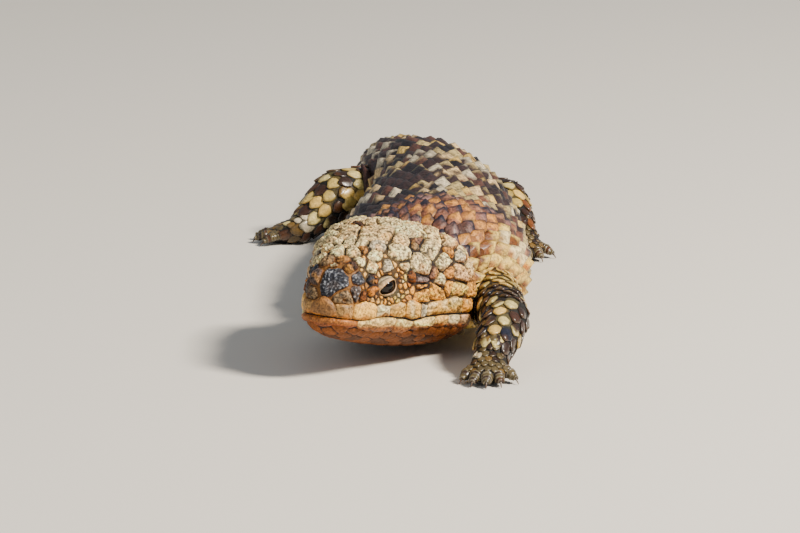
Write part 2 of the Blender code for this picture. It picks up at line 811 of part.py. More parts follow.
def jaw_point(d, angle, lift=0.0):
    """A point of the lower jaw: angle 0 is its left lip and half a turn the right one."""
    half, _, depth = head_section(d)
    half -= JAW_INSET
    across = half * power(math.cos(angle), 2 / JAW_ROUNDNESS)
    down = depth * power(math.sin(angle), 2 / JAW_ROUNDNESS)
    outward = HEAD_LEFT * math.cos(angle) / half - HEAD_UP * math.sin(angle) / depth
    return head_place(d, across, -down - MOUTH_GAP / 2) + outward.normalized() * lift


def lower_lip(d, height, side, lift):
    """A point of the lower jaw by its depth under the mouth line."""
    d = max(0.0012, min(HEAD_LENGTH, d))
    _, _, depth = head_section(d)
    angle = math.asin(min(1.0, max(0.0002, height) / depth) ** (JAW_ROUNDNESS / 2))
    return jaw_point(d, angle if side > 0 else math.pi - angle, lift)


def make_jaw(collection):
    """The lower jaw and throat, flat along the mouth line, with its row of lip scales."""
    columns = 14
    rings = []
    for i in range(HEAD_RINGS + 1):
        d = 0.0008 + (HEAD_LENGTH - 0.0008) * (i / HEAD_RINGS) ** 1.5
        rings.append([jaw_point(d, math.pi * k / columns) for k in range(columns + 1)])
    jaw = add_object("lower_jaw", loft("lower_jaw", rings), collection)
    pieces = new_collection("jaw_pieces", hidden=True)
    make_lips(pieces, -1, lower_lip)
    combine(jaw, pieces, "UNION")
    finish(jaw, "jaw")


def make_head(collection, draw):
    head = make_head_core(collection)
    pieces = new_collection("head_pieces", hidden=True)
    cuts = new_collection("head_cuts", hidden=True)
    make_shields(pieces, draw)
    make_lips(pieces, 1, upper_lip)
    make_eyes(collection, pieces, cuts)
    make_side_openings(cuts)
    combine(head, pieces, "UNION")
    combine(head, cuts, "DIFFERENCE")
    finish(head, "head")
    make_jaw(collection)


def centre_on_floor(collection):
    """Moves everything so that the origin lies under the middle of the bounding box."""
    low = [min(v.co[axis] for item in collection.objects for v in item.data.vertices) for axis in (0, 1, 2)]
    high = [max(v.co[axis] for item in collection.objects for v in item.data.vertices) for axis in (0, 1)]
    shift = Vector((-(low[0] + high[0]) / 2, -(low[1] + high[1]) / 2, -low[2]))
    for item in collection.objects:
        item.data.transform(Matrix.Translation(shift))


def main():
    clear_scene()
    draw = random.Random(SEED)
    lizard = new_collection("shingleback_lizard")
    neck, torso, tail = make_body(lizard, draw)
    stumps = new_collection("limb_roots", hidden=True)
    rooms = new_collection("limb_rooms", hidden=True)
    neck_rooms = new_collection("neck_rooms", hidden=True)
    for name, limb in LIMBS.items():
        make_limb(name, limb, stumps, rooms, neck_rooms, lizard, draw)
    combine(torso, rooms, "DIFFERENCE")
    combine(torso, stumps, "UNION")
    combine(neck, neck_rooms, "DIFFERENCE")
    for item in (neck, torso, tail):
        finish(item, "skin")
    make_head(lizard, draw)
    centre_on_floor(lizard)


main()
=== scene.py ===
import math
import random

import bpy
import numpy as np
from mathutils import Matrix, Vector, noise
from mathutils.bvhtree import BVHTree
from mathutils.kdtree import KDTree


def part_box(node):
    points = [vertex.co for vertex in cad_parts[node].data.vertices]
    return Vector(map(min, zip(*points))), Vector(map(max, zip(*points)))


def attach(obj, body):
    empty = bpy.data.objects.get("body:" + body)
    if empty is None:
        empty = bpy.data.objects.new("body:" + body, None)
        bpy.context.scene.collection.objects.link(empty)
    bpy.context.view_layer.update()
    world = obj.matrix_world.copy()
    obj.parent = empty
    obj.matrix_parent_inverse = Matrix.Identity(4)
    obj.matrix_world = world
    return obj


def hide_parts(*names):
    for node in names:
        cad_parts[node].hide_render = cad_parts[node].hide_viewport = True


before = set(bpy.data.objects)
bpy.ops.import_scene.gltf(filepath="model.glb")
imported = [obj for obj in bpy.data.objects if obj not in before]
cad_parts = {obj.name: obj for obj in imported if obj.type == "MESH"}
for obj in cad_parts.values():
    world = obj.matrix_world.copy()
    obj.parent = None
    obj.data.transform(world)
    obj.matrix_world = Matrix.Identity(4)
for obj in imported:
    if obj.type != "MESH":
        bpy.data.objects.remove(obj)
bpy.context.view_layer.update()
print("frame loaded:", len(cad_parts), "nodes")

# lengths in the tables are millimetres, in the space where the head was measured;
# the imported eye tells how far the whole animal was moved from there

setOut = {"seed": 11, "saturation": 1.16}   # the studio view washes tones out

# backbone seen from above: x, y, half width, top, underside
trunk = {
    "stations": [
        (4.4, -99.0, 20.6, 37.2, 5.6), (8.4, -90.0, 21.8, 37.6, 4.0), (10.4, -78.0, 25.6, 38.2, 1.6),
        (10.4, -64.0, 28.0, 36.6, 0.0), (9.6, -50.0, 29.2, 35.4, -0.5), (10.5, -25.0, 27.8, 35.4, -0.5),
        (12.0, 0.0, 24.2, 35.4, -0.5), (10.8, 22.0, 20.8, 34.4, 0.0), (6.8, 45.0, 18.4, 32.2, 1.2),
        (3.6, 62.0, 16.8, 29.0, 1.4), (1.2, 78.0, 15.6, 26.0, 0.4), (0.0, 93.0, 14.7, 23.4, -0.4),
        (-1.0, 107.0, 13.2, 20.6, -0.4), (-1.8, 117.0, 11.2, 17.5, -0.3), (-2.1, 122.8, 8.2, 14.4, 0.2),
        (-2.3, 125.6, 4.0, 10.4, 3.4),
    ],
    "coatDepth": 1.5,
    "waist": 0.42,
    "backRoundness": 1.95,
    "bellyRoundness": 2.9,
}

# head: distance back from the snout, half width, crown over the mouth, jaw under it
head = {
    "stations": [
        (0.0, 1.6, 4.0, 1.2), (1.0, 4.8, 8.8, 3.2), (3.0, 7.2, 12.8, 4.6), (7.0, 9.5, 16.1, 6.0),
        (13.0, 12.0, 18.6, 7.3), (20.0, 15.0, 20.7, 8.4), (30.0, 19.7, 22.9, 9.8),
        (40.0, 23.0, 24.3, 10.6), (47.0, 24.8, 23.8, 10.4), (54.5, 22.0, 21.0, 8.0),
    ],
    "snout": (-22.0, -151.2, 19.2),
    "yaw": 25, "pitch": 7.5, "roll": 3,
    "crownRoundness": 3.0, "jawRoundness": 2.1,
    "coatDepth": 0.72, "jawInset": 0.7,
    "mouthWave": [(0, 0), (8, -0.5), (15, 0.4), (22, -0.1), (25, -0.6), (31, 0.5), (40, 0.9), (54.5, 0.6)],
    "eye": (15.0, 8.8), "eyeRadius": 2.8, "eyeSink": 1.4,
    "ear": (48.8, 8.2),
}

# limbs: x, y, z, radius at root, elbow or knee, wrist or ankle, then the foot's heading
limbs = {
    "frontLeft": {"joints": [(25.8, -82.0, 12.0, 7.8), (30.6, -127.5, 12.6, 6.4), (26.6, -141.5, 7.2, 5.4)],
                  "heading": -95, "spread": 15, "palm": 5.4, "digit": 6.2, "inner": -1},
    "frontRight": {"joints": [(0.0, -67.0, 15.0, 8.0), (-17.8, -61.2, 14.0, 6.2), (-19.4, -71.6, 7.2, 5.2)],
                   "heading": -84, "spread": 9, "palm": 5.4, "digit": 6.2, "inner": 1},
    "hindLeft": {"joints": [(12.0, 48.0, 12.0, 8.4), (33.5, 36.0, 13.0, 7.2), (37.6, 22.8, 7.2, 5.2)],
                 "heading": -84, "spread": 16, "palm": 5.4, "digit": 7.0, "inner": -1},
    "hindRight": {"joints": [(-1.0, 53.0, 13.0, 8.4), (-19.8, 42.5, 13.8, 8.2), (-29.0, 36.2, 7.0, 5.4)],
                  "heading": 160, "spread": 22, "palm": 5.4, "digit": 6.6, "inner": 1},
}

foot = {
    "digitLengths": (0.66, 0.92, 1.04, 1.00, 0.76),
    "thumbTurn": 1.5,
    "digitRadius": 1.5,
    # along the digit as a share of its length, height of its middle, share of the radius
    "digitShape": [(-0.35, 2.2, 0.85), (0.0, 2.8, 0.95), (0.22, 3.0, 1.08), (0.45, 2.6, 0.9),
                   (0.68, 2.5, 1.04), (0.85, 2.1, 0.86), (1.0, 1.8, 0.72), (1.06, 1.6, 0.4)],
    # ahead of the heel, height of the middle, share of the palm's half width, half height
    "palmShape": [(-3.0, 5.4, 0.80, 4.6), (1.0, 4.6, 0.92, 4.4), (4.8, 3.4, 1.06, 3.4), (8.2, 2.7, 1.0, 2.6),
                  (10.2, 2.3, 0.70, 1.7)],
    # where the digits fan out: ahead of the heel, how far the outer ones stand back, share of the palm
    "fanAhead": 7.2, "fanBack": 0.8, "fanOut": 0.42,
    "clawLength": 2.5, "clawRadius": 0.95, "clawFlat": 0.72, "clawThin": 0.35, "clawFall": 1.55,
}

skinBuild = {"voxel": 0.8, "smoothing": 5}

tones = {
    "cream": (236, 214, 168), "creamTan": (230, 182, 116),
    "tanCream": (224, 195, 149), "tan": (165, 118, 72), "greyCream": (206, 194, 168),
    "pinkCream": (220, 178, 136), "yellowCream": (228, 196, 120), "amberCream": (232, 168, 92),
    "amber": (176, 112, 54), "orange": (158, 88, 38), "orangeTan": (212, 150, 88),
    "orangeBrown": (116, 68, 34), "brown": (72, 46, 30), "darkBrown": (54, 34, 26),
    "slate": (38, 41, 52), "slateGlint": (178, 182, 192), "slateBrown": (84, 72, 68),
    "greyMauve": (140, 122, 120),
    "mauve": (124, 92, 78), "mottled": (128, 106, 80), "oliveTan": (158, 122, 74), "olive": (112, 88, 50),
    "snoutTan": (160, 124, 80), "goldCream": (232, 182, 108), "neckTan": (166, 122, 98),
    # snoutBrown: partly the rostral's own brown, partly painted shade
    "neckRose": (150, 116, 110), "snoutBrown": (136, 98, 62), "chinTan": (156, 98, 52),
    "goldLight": (250, 214, 148), "lipOrange": (146, 76, 28), "rust": (126, 84, 68),
    "rustDark": (84, 56, 48), "blueBlack": (24, 26, 42),
    "backDark": (52, 38, 38), "backBlack": (28, 22, 27), "bandCream": (188, 168, 122),
    "sideCream": (222, 188, 118), "oliveCream": (192, 168, 106), "bellyCream": (200, 182, 138),
    "bellyDark": (96, 76, 60), "limbDark": (42, 28, 22), "limbCream": (224, 206, 144),
    # chinOrange and chinBrown: partly own orange-brown, partly painted shade of the underside
    "toeGrey": (88, 77, 54), "chinOrange": (120, 68, 24), "chinBrown": (82, 46, 16),
    # groove: the dark used for painted shade at plate rims and in the mouth line
    "groove": (34, 22, 16), "horn": (70, 56, 46), "lid": (198, 182, 152),
}


def linear(tone):
    share = np.array(tones[tone] if isinstance(tone, str) else tone, float) / 255
    light = np.where(share <= 0.04045, share / 12.92, ((share + 0.055) / 1.055) ** 2.4)
    grey = light @ (0.21, 0.72, 0.07)
    return np.clip(grey + (light - grey) * setOut["saturation"], 0.002, 1)


def deselectAll():
    for item in bpy.context.selected_objects:
        item.select_set(False)
    bpy.context.view_layer.objects.active = None


def pick(item):
    deselectAll()
    item.select_set(True)
    bpy.context.view_layer.objects.active = item


def turnOutward(item):
    pick(item)
    bpy.ops.object.mode_set(mode="EDIT")
    bpy.ops.mesh.select_all(action="SELECT")
    bpy.ops.mesh.normals_make_consistent(inside=False)
    bpy.ops.object.mode_set(mode="OBJECT")


def placesOf(piece):
    places = np.empty(len(piece.data.vertices) * 3)
    piece.data.vertices.foreach_get("co", places)
    return places.reshape(-1, 3)


def takeShape(item):
    # points and faces of a piece that was only modelled to be copied
    points = placesOf(item)
    faces = [tuple(face.vertices) for face in item.data.polygons]
    bpy.data.objects.remove(item, do_unlink=True)
    return points, faces


def paint(piece, colours):
    tint = piece.data.attributes.new("tint", "FLOAT_COLOR", "POINT")
    full = np.ones((len(piece.data.vertices), 4))
    full[:, :3] = colours
    tint.data.foreach_set("color", full.ravel())


def settle(piece):
    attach(piece, "root")


def nearestTree(spots):
    tree = KDTree(len(spots))
    for i, spot in enumerate(spots):
        tree.insert(spot, i)
    tree.balance()
    return tree


def applyAll(item):
    pick(item)
    for modifier in list(item.modifiers):
        bpy.ops.object.modifier_apply(modifier=modifier.name)


def splineAt(keys, values, at):
    keys, values = np.asarray(keys, float), np.asarray(values, float)
    at = np.clip(np.asarray(at, float), keys[0], keys[-1])
    i = np.clip(np.searchsorted(keys, at) - 1, 0, len(keys) - 2)
    low = np.maximum(np.arange(len(keys)) - 1, 0)
    high = np.minimum(np.arange(len(keys)) + 1, len(keys) - 1)
    slope = (values[high] - values[low]) / (keys[high] - keys[low])
    span = keys[i + 1] - keys[i]
    s = (at - keys[i]) / span
    return ((2 * s**3 - 3 * s**2 + 1) * values[i] + (s**3 - 2 * s**2 + s) * span * slope[i]
            + (3 * s**2 - 2 * s**3) * values[i + 1] + (s**3 - s**2) * span * slope[i + 1])


def signedPower(value, exponent):
    return np.sign(value) * np.abs(value) ** exponent


def unit(vectors):
    vectors = np.asarray(vectors, float)
    return vectors / np.maximum(np.linalg.norm(vectors, axis=-1, keepdims=True), 1e-12)


def smoothStep(x):
    x = np.clip(x, 0, 1)
    return x * x * (3 - 2 * x)


# surfaces, in millimetres
stationTable = np.array(trunk["stations"])
stationRun = np.concatenate([[0], np.cumsum(np.linalg.norm(np.diff(stationTable[:, :2], axis=0), axis=1))])
trunkLength = stationRun[-1]
neckEnd = stationRun[1]
ventRun = stationRun[9]


def trunkSurface(run, angle):
    run, angle = np.broadcast_arrays(np.asarray(run, float), np.asarray(angle, float))
    x, y, half, top, under = (splineAt(stationRun, stationTable[:, k], run) for k in range(5))
    low, high = np.maximum(run - 1, 0), np.minimum(run + 1, trunkLength)
    along = unit(np.stack([splineAt(stationRun, stationTable[:, k], high)
                           - splineAt(stationRun, stationTable[:, k], low) for k in (0, 1)], -1))
    left = np.stack([along[..., 1], -along[..., 0], np.zeros_like(run)], -1)
    half = half - trunk["coatDepth"]
    top = top - trunk["coatDepth"]
    waist = under + trunk["waist"] * (top - under)
    upper = np.cos(angle) > 0
    roundness = np.where(upper, trunk["backRoundness"], trunk["bellyRoundness"])
    height = np.where(upper, top - waist, waist - under)
    across = signedPower(np.sin(angle), 2 / roundness) * half
    up = waist + signedPower(np.cos(angle), 2 / roundness) * height
    point = np.stack([x, y, up], -1) + left * across[..., None]
    point[..., 2] = np.maximum(point[..., 2], 0)
    return point


yaw, pitch, roll = (math.radians(head[key]) for key in ("yaw", "pitch", "roll"))
headBack = Vector((math.sin(yaw) * math.cos(pitch), math.cos(yaw) * math.cos(pitch), -math.sin(pitch)))
headLevel = Vector((math.cos(yaw), -math.sin(yaw), 0))
headSteep = headLevel.cross(headBack)
headLeft = headLevel * math.cos(roll) - headSteep * math.sin(roll)
headUp = headLeft.cross(headBack)
headAxes = np.array([headBack, headLeft, headUp])
snout = np.array(head["snout"])
headTable = np.array(head["stations"])
headLength = headTable[-1, 0]
waveTable = np.array(head["mouthWave"])


def headPlace(d, across, up):
    return snout + np.stack(np.broadcast_arrays(d, across, up), -1) @ headAxes


def headSize(d):
    return [splineAt(headTable[:, 0], headTable[:, k], d) for k in (1, 2, 3)]


def headSurface(d, angle):
    # angle 0 is the left lip, half a turn the right one, over the crown
    half, crown, _ = headSize(d)
    half, crown = half - head["coatDepth"], crown - head["coatDepth"]
    roundness = 2 / head["crownRoundness"]
    return headPlace(d, half * signedPower(np.cos(angle), roundness),
                     crown * signedPower(np.sin(angle), roundness) + 0.25)


def jawSurface(d, angle):
    half, _, depth = headSize(d)
    half = half - head["jawInset"]
    roundness = 2 / head["jawRoundness"]
    return headPlace(d, half * signedPower(np.cos(angle), roundness),
                     -depth * signedPower(np.sin(angle), roundness) - 0.25)


def headAtArc(d, arc):
    # a place on the upper head by its distance round from the middle of the crown
    angles = math.pi / 2 * (1 - np.linspace(0, 1, 61))
    line = headSurface(np.full(61, d), angles)
    run = np.concatenate([[0], np.cumsum(np.linalg.norm(np.diff(line, axis=0), axis=1))])
    share = np.interp(min(abs(arc), run[-1]), run, np.linspace(0, 1, 61))
    return headSurface(d, math.pi / 2 * (1 - math.copysign(share, arc)))


def halfArc(d):
    line = headSurface(np.full(61, d), math.pi / 2 * (1 - np.linspace(0, 1, 61)))
    return float(np.linalg.norm(np.diff(line, axis=0), axis=1).sum())


def sideAngle(d, up):
    crown = headSize(d)[1] - head["coatDepth"]
    return math.asin(min(1.0, up / crown) ** (head["crownRoundness"] / 2))


def sideFrame(at, side):
    # point on the side of the head, then outward, backward and upward there
    d, up = at
    angle = sideAngle(d, up)
    angle = angle if side > 0 else math.pi - angle
    point = headSurface(d, angle)
    backward = unit(headSurface(d + 0.5, angle) - headSurface(d - 0.5, angle))
    around = unit(headSurface(d, angle + 0.02) - headSurface(d, angle - 0.02))
    outward = unit(np.cross(backward, around))
    if outward @ headAxes[1] * side < 0:
        outward = -outward
    upward = np.cross(outward, backward)
    return point, outward, backward, upward if upward[2] > 0 else -upward


def skullRing(angles, reach):
    half, crown, depth = headSize(headLength)
    upper = np.cos(angles) > 0
    inset = trunk["coatDepth"]
    height = np.where(upper, crown - inset, depth)
    roundness = 2 / head["crownRoundness"]
    return headPlace(headLength + reach, (half - inset) * signedPower(np.sin(angles), roundness),
                     height * signedPower(np.cos(angles), roundness))


def neckSurface(run, angle):
    run, angle = np.broadcast_arrays(np.asarray(run, float), np.asarray(angle, float))
    blend = smoothStep(run / neckEnd)[..., None]
    flat = skullRing(angle.ravel(), run.ravel()).reshape(*angle.shape, 3)
    return flat * (1 - blend) + trunkSurface(np.maximum(run, 0), angle) * blend


def bodySurface(run, angle):
    run, angle = np.broadcast_arrays(np.asarray(run, float), np.asarray(angle, float))
    return np.where((run < neckEnd)[..., None], neckSurface(run, angle), trunkSurface(run, angle))


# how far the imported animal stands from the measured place
eyePoint, eyeOut, _, _ = sideFrame(head["eye"], 1)
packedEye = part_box("eye_left")
shift = (np.array(packedEye[0]) + np.array(packedEye[1])) / 2 * 1000 - (eyePoint - eyeOut * head["eyeSink"])
shift[2] = 0
print("animal stands off by", [round(float(v), 2) for v in shift], "mm")


def toScene(points):
    return (np.asarray(points, float) + shift) / 1000


def meshPiece(name, points, faces):
    mesh = bpy.data.meshes.new(name)
    mesh.from_pydata([tuple(p) for p in toScene(points)], [], [tuple(int(i) for i in face) for face in faces])
    mesh.update()
    piece = bpy.data.objects.new(name, mesh)
    bpy.context.scene.collection.objects.link(piece)
    return piece


def ringFaces(rows, columns):
    # quads between rings of points that follow each other
    faces = []
    for row in range(rows - 1):
        for i in range(columns):
            j = (i + 1) % columns
            faces.append((row * columns + i, row * columns + j, (row + 1) * columns + j, (row + 1) * columns + i))
    return faces


def tube(name, rings):
    rings = np.array(rings)
    count, columns = rings.shape[:2]
    points = np.concatenate([rings.reshape(-1, 3), [rings[0].mean(0)], [rings[-1].mean(0)]])
    faces = ringFaces(count, columns)
    first, last = count * columns, count * columns + 1
    for i in range(columns):
        j = (i + 1) % columns
        faces.append((j, i, first))
        faces.append(((count - 1) * columns + i, (count - 1) * columns + j, last))
    return meshPiece(name, points, faces)


# skin: tubes for trunk, head and limbs, grown together by a voxel remesh
def bodyForms():
    forms = []
    turn = np.linspace(0, 2 * math.pi, 72, endpoint=False)
    runs = np.concatenate([np.linspace(-4, neckEnd, 10), np.linspace(neckEnd, trunkLength, 130)[1:]])
    forms.append(tube("trunkForm", [bodySurface(np.full(72, run), turn) for run in runs]))
    over = np.linspace(0, math.pi, 40)
    rings = []
    for share in np.linspace(0, 1, 44):
        d = headLength * share**1.5
        wave = splineAt(waveTable[:, 0], waveTable[:, 1], d)
        half = headSize(d)[0]
        bite = min(1.6, half * 0.4)
        crease = [headPlace(d, side * (half - bite), wave) for side in (-1, 1)]
        upper, lower = headSurface(np.full(40, d), over), jawSurface(np.full(40, d), over)
        rings.append(np.concatenate([upper, [crease[0]], lower[::-1], [crease[1]]]))
    forms.append(tube("headForm", rings))
    for name, limb in limbs.items():
        forms += limbForms(name, limb)
    return forms


def ringAround(centre, along, radius, columns=24):
    side = unit(np.cross(along, (0, 0, 1)))
    up = np.cross(side, along)
    turn = np.linspace(0, 2 * math.pi, columns, endpoint=False)[:, None]
    return centre + (up * np.cos(turn) + side * np.sin(turn)) * radius


def limbRadius(begin, end, share):
    return (begin[3] * (1 - share) + end[3] * share) * (1 + 0.07 * math.sin(math.pi * min(max(share, 0), 1)))


def limbForms(name, limb):
    made = []
    joints = [np.array(j, float) for j in limb["joints"]]
    for part, (begin, end) in enumerate(zip(joints, joints[1:])):
        along = unit(end[:3] - begin[:3])
        length = np.linalg.norm(end[:3] - begin[:3])
        rings = []   # round end, then the length, then the other round end
        for step in np.linspace(math.pi / 2, 0.15, 6):
            r = limbRadius(begin, end, 0)
            rings.append(ringAround(begin[:3] - along * r * math.sin(step), along, max(r * math.cos(step), 0.2)))
        for share in np.linspace(0, 1, 14):
            centre = begin[:3] + along * length * share
            rings.append(ringAround(centre, along, limbRadius(begin, end, share)))
        for step in np.linspace(0.15, math.pi / 2, 6):
            r = limbRadius(begin, end, 1)
            rings.append(ringAround(end[:3] + along * r * math.sin(step), along, max(r * math.cos(step), 0.2)))
        rings = np.array(rings)
        rings[..., 2] = np.maximum(rings[..., 2], 0)
        made.append(tube(f"{name}Form{part}", rings))
    made.append(palmForm(name, limb))
    for i in range(5):
        line, ahead, _, size = digitLine(limb, i)
        rings = []
        for share, height, width in foot["digitShape"]:
            centre = line + ahead * size * share + np.array((0, 0, height))
            ring = ringAround(centre, ahead, foot["digitRadius"] * width, 14)
            ring[:, 2] = np.maximum(ring[:, 2], 0)
            rings.append(ring)
        made.append(tube(f"{name}Digit{i}", rings))
    return made


def footFrame(limb):
    heading = math.radians(limb["heading"])
    ahead = np.array((math.cos(heading), math.sin(heading), 0))
    side = np.array((-ahead[1], ahead[0], 0))
    knee, ankle = (np.array(j[:3], float) for j in limb["joints"][1:])
    heel = ankle + unit(ankle - knee) * 4
    heel[2] = 0
    return heel, ahead, side


def digitLine(limb, i):
    heel, ahead, side = footFrame(limb)
    size = limb["digit"] * foot["digitLengths"][i]
    turn = (i - 2) * math.radians(limb["spread"]) * limb["inner"] * (foot["thumbTurn"] if i == 0 else 1)
    base = (heel + ahead * (foot["fanAhead"] - foot["fanBack"] * abs(i - 2) ** 1.5)
            + side * (i - 2) * limb["palm"] * foot["fanOut"] * limb["inner"])
    heading = math.radians(limb["heading"]) + turn
    ahead = np.array((math.cos(heading), math.sin(heading), 0))
    return base, ahead, np.array((-ahead[1], ahead[0], 0)), size


def palmForm(name, limb):
    heel, ahead, side = footFrame(limb)
    turn = np.linspace(0, 2 * math.pi, 24, endpoint=False)[:, None]
    rings = []
    for reach, height, width, thick in foot["palmShape"]:
        ring = heel + ahead * reach + np.array((0, 0, height))
        ring = ring + np.array((0, 0, 1)) * np.cos(turn) * thick - side * np.sin(turn) * limb["palm"] * width
        ring[:, 2] = np.maximum(ring[:, 2], 0)
        rings.append(ring)
    return tube(f"{name}Palm", rings)


def growSkin():
    forms = bodyForms()
    deselectAll()
    for form in forms:
        form.select_set(True)
    bpy.context.view_layer.objects.active = forms[0]
    bpy.ops.object.join()
    skin = bpy.context.view_layer.objects.active
    skin.name = "skin"
    skin.data.name = "skin"
    grow = skin.modifiers.new("grow", "REMESH")
    grow.mode = "VOXEL"
    grow.voxel_size = skinBuild["voxel"] / 1000
    grow.use_smooth_shade = True
    soften = skin.modifiers.new("soften", "SMOOTH")
    soften.factor = 0.5
    soften.iterations = skinBuild["smoothing"]
    applyAll(skin)
    return skin


skin = growSkin()
print("skin grown:", len(skin.data.polygons), "faces")


# the surface that every scale and plate is laid on
def readSurface(piece):
    mesh = piece.data
    normals = np.empty(len(mesh.vertices) * 3)
    mesh.vertices.foreach_get("normal", normals)
    faces = [tuple(face.vertices) for face in mesh.polygons]
    tree = BVHTree.FromPolygons([tuple(p) for p in placesOf(piece)], faces)
    normals = normals.reshape(-1, 3)
    faceNormals = unit(np.array([normals[list(face)].mean(0) for face in faces]))
    return tree, faceNormals


skinTree, skinNormals = readSurface(skin)


def layOn(points):
    # nearest places of the skin, in millimetres, with its smooth normals
    placed, normals = np.empty_like(points), np.empty_like(points)
    for i, point in enumerate(toScene(points)):
        spot, _, face, _ = skinTree.find_nearest(point)
        placed[i] = spot
        normals[i] = skinNormals[face]
    return placed * 1000 - shift, normals


class Coat:
    # collects the scales of one piece: points, faces, tints and each one's island of the OFBake map
    def __init__(self, name):
        self.name = name
        self.points, self.faces, self.tints, self.maps = [], [], [], []
        self.count = 0
        self.seeds, self.laid = [], []

    def add(self, points, faces, tints, mapped, capMapped):
        self.points.append(points)
        self.faces += [tuple(i + self.count for i in face) for face in faces]
        self.tints.append(tints)
        self.maps.append((faces, mapped, capMapped))
        self.count += len(points)
        self.seeds.append((points.mean(0), tints[: max(4, len(tints) // 2)].mean(0)))

    def finish(self, material, slot):
        piece = meshPiece(self.name, np.concatenate(self.points), self.faces)
        mesh = piece.data
        mesh.shade_smooth()
        paint(piece, np.concatenate(self.tints))
        layer = mesh.uv_layers.new(name="OFBake")
        cells = math.ceil(math.sqrt(len(self.maps)))
        spots = []
        for k, (faces, mapped, capMapped) in enumerate(self.maps):
            corner = np.array((k % cells, k // cells))
            for face in faces:
                # the underside is one wide face, kept small in the corner of the cell
                source = capMapped if len(face) > 4 else mapped
                spots.append((corner + source[list(face)]) / cells)
        layer.data.foreach_set("uv", np.concatenate(spots).ravel())
        mesh.materials.append(material)
        settle(piece)
        print(f"{self.name}: {len(self.maps)} scales, {sum(len(f) - 2 for f in self.faces)} triangles")


# one scale, modelled once: a rounded lozenge, low in front, thick and raised behind
scaleForm = {"across": 8, "along": 6, "thickness": 0.9, "keel": 0.13, "uneven": 0.22}


def modelScale():
    deselectAll()
    bpy.ops.mesh.primitive_grid_add(x_subdivisions=scaleForm["across"], y_subdivisions=scaleForm["along"], size=2)
    scale = bpy.context.view_layer.objects.active
    bpy.ops.object.mode_set(mode="EDIT")
    bpy.ops.mesh.select_all(action="SELECT")
    bpy.ops.mesh.region_to_loop()
    bpy.ops.mesh.extrude_region_move(TRANSFORM_OT_translate={"value": (0, 0, -1)})
    bpy.ops.mesh.edge_face_add()
    bpy.ops.object.mode_set(mode="OBJECT")
    turnOutward(scale)
    flat, faces = takeShape(scale)
    under = flat[:, 2] < -0.5
    u, v = flat[:, 0], flat[:, 1]
    # widest behind the middle, drawn in to a blunt point at the rear
    width = np.interp(v, [-1, -0.4, 0.2, 0.62, 0.86, 1], [0.62, 0.92, 1.0, 0.93, 0.75, 0.50])
    x = u * width / 2
    y = v / 2 + 0.15 * (1 - u**2) * np.clip(v, 0, 1) - 0.04 * (1 - u**2) * np.clip(-v, 0, 1)
    rise = np.interp(v, [-1, -0.3, 0.35, 0.75, 1], [0, 0.30, 0.72, 0.94, 1.0])
    rise = rise * (1 - 0.36 * np.abs(u) ** 2.4)
    rise = rise + scaleForm["keel"] * np.exp(-((u / 0.3) ** 2)) * np.clip(v + 0.6, 0, 1)
    ring = 1.0 + 0.24 * under
    mapped = np.stack([0.46 + 0.33 * u * width * ring, 0.46 + 0.33 * v * ring], -1)
    cap = np.stack([0.93 + 0.05 * u, 0.93 + 0.05 * v], -1)
    return {"x": x, "y": y, "rise": rise, "under": under, "faces": faces, "map": mapped, "cap": cap,
            "u": u, "v": v}


scaleShape = modelScale()


def noiseOver(points, size, offset=0.0):
    push = Vector((offset, offset * 0.7, -offset))
    return np.array([noise.noise(Vector(p) / size + push) for p in points])


def layScale(coat, spot, along, normal, width, length, rise, tint, root=0.35, thickness=None, uneven=None):
    shape = scaleShape
    across = unit(np.cross(along, normal))
    along = unit(np.cross(normal, across))
    coat.laid.append((spot, along))
    points = spot + np.outer(shape["x"] * width, across) + np.outer(shape["y"] * length, along)
    placed, normals = layOn(points)
    uneven = scaleForm["uneven"] if uneven is None else uneven
    lumps = noiseOver(placed, 1.9, 4.0) * uneven * np.clip(shape["rise"] * 1.4, 0, 1)
    lift = -root + shape["rise"] * (rise + root) + lumps
    thickness = scaleForm["thickness"] if thickness is None else thickness
    lift = np.where(shape["under"], -root - thickness + shape["rise"] * (rise + root) * 0.8, lift)
    placed = placed + normals * lift[:, None]
    placed[:, 2] = np.maximum(placed[:, 2], 0.02)
    tints = tint(shape["u"], shape["v"], shape["under"], placed)
    coat.add(placed, shape["faces"], tints, shape["map"], shape["cap"])


def blend(colour, other, share):
    return colour * (1 - share[:, None]) + other * share[:, None]


def scaleTint(draw, base, rear=None, rearWidth=0.35, rearShare=0.85, patch=None, patchLevel=0.0, tip=None,
              front=0.4, sideShade=0.5):
    # one scale's tones: painted shade where it is covered in front and towards its sides, a patch that spreads
    # from its rear, its rear margin
    base = linear(base) * draw.uniform(0.82, 1.14)
    rear = None if rear is None else linear(rear) * draw.uniform(0.8, 1.2)
    patch = None if patch is None else linear(patch) * draw.uniform(0.86, 1.12)
    tip = None if tip is None else linear(tip)
    lean = draw.uniform(-0.35, 0.35)

    def tint(u, v, under, placed):
        grain = noiseOver(placed, 1.5)
        # painted shade: darker over the covered front and towards the sides, with random grain
        shade = np.interp(v, [-1, -0.2], [front, 1.0]) * (1 - sideShade * np.abs(u) ** 3) * (1 + 0.22 * grain)
        colour = base[None, :] * np.ones((len(u), 1))
        if patch is not None:
            wide = noiseOver(placed, 3.4, 2.0)
            level = patchLevel + 0.7 * wide + 0.95 * v - 0.5 + lean * u
            colour = blend(colour, patch, smoothStep(level / 0.35 + 0.5))
        colour = colour * shade[:, None]
        if rear is not None:
            level = v + lean * u + 0.35 * grain - 1 + 2 * rearWidth
            colour = blend(colour, rear, smoothStep(level / 0.4) * rearShare)
        if tip is not None:
            colour = blend(colour, tip, smoothStep((v - 0.25 * u * u - 0.78) / 0.12) * 0.7)
        # the underside gets painted shade
        return np.where(under[:, None], colour * 0.3, colour)

    return tint


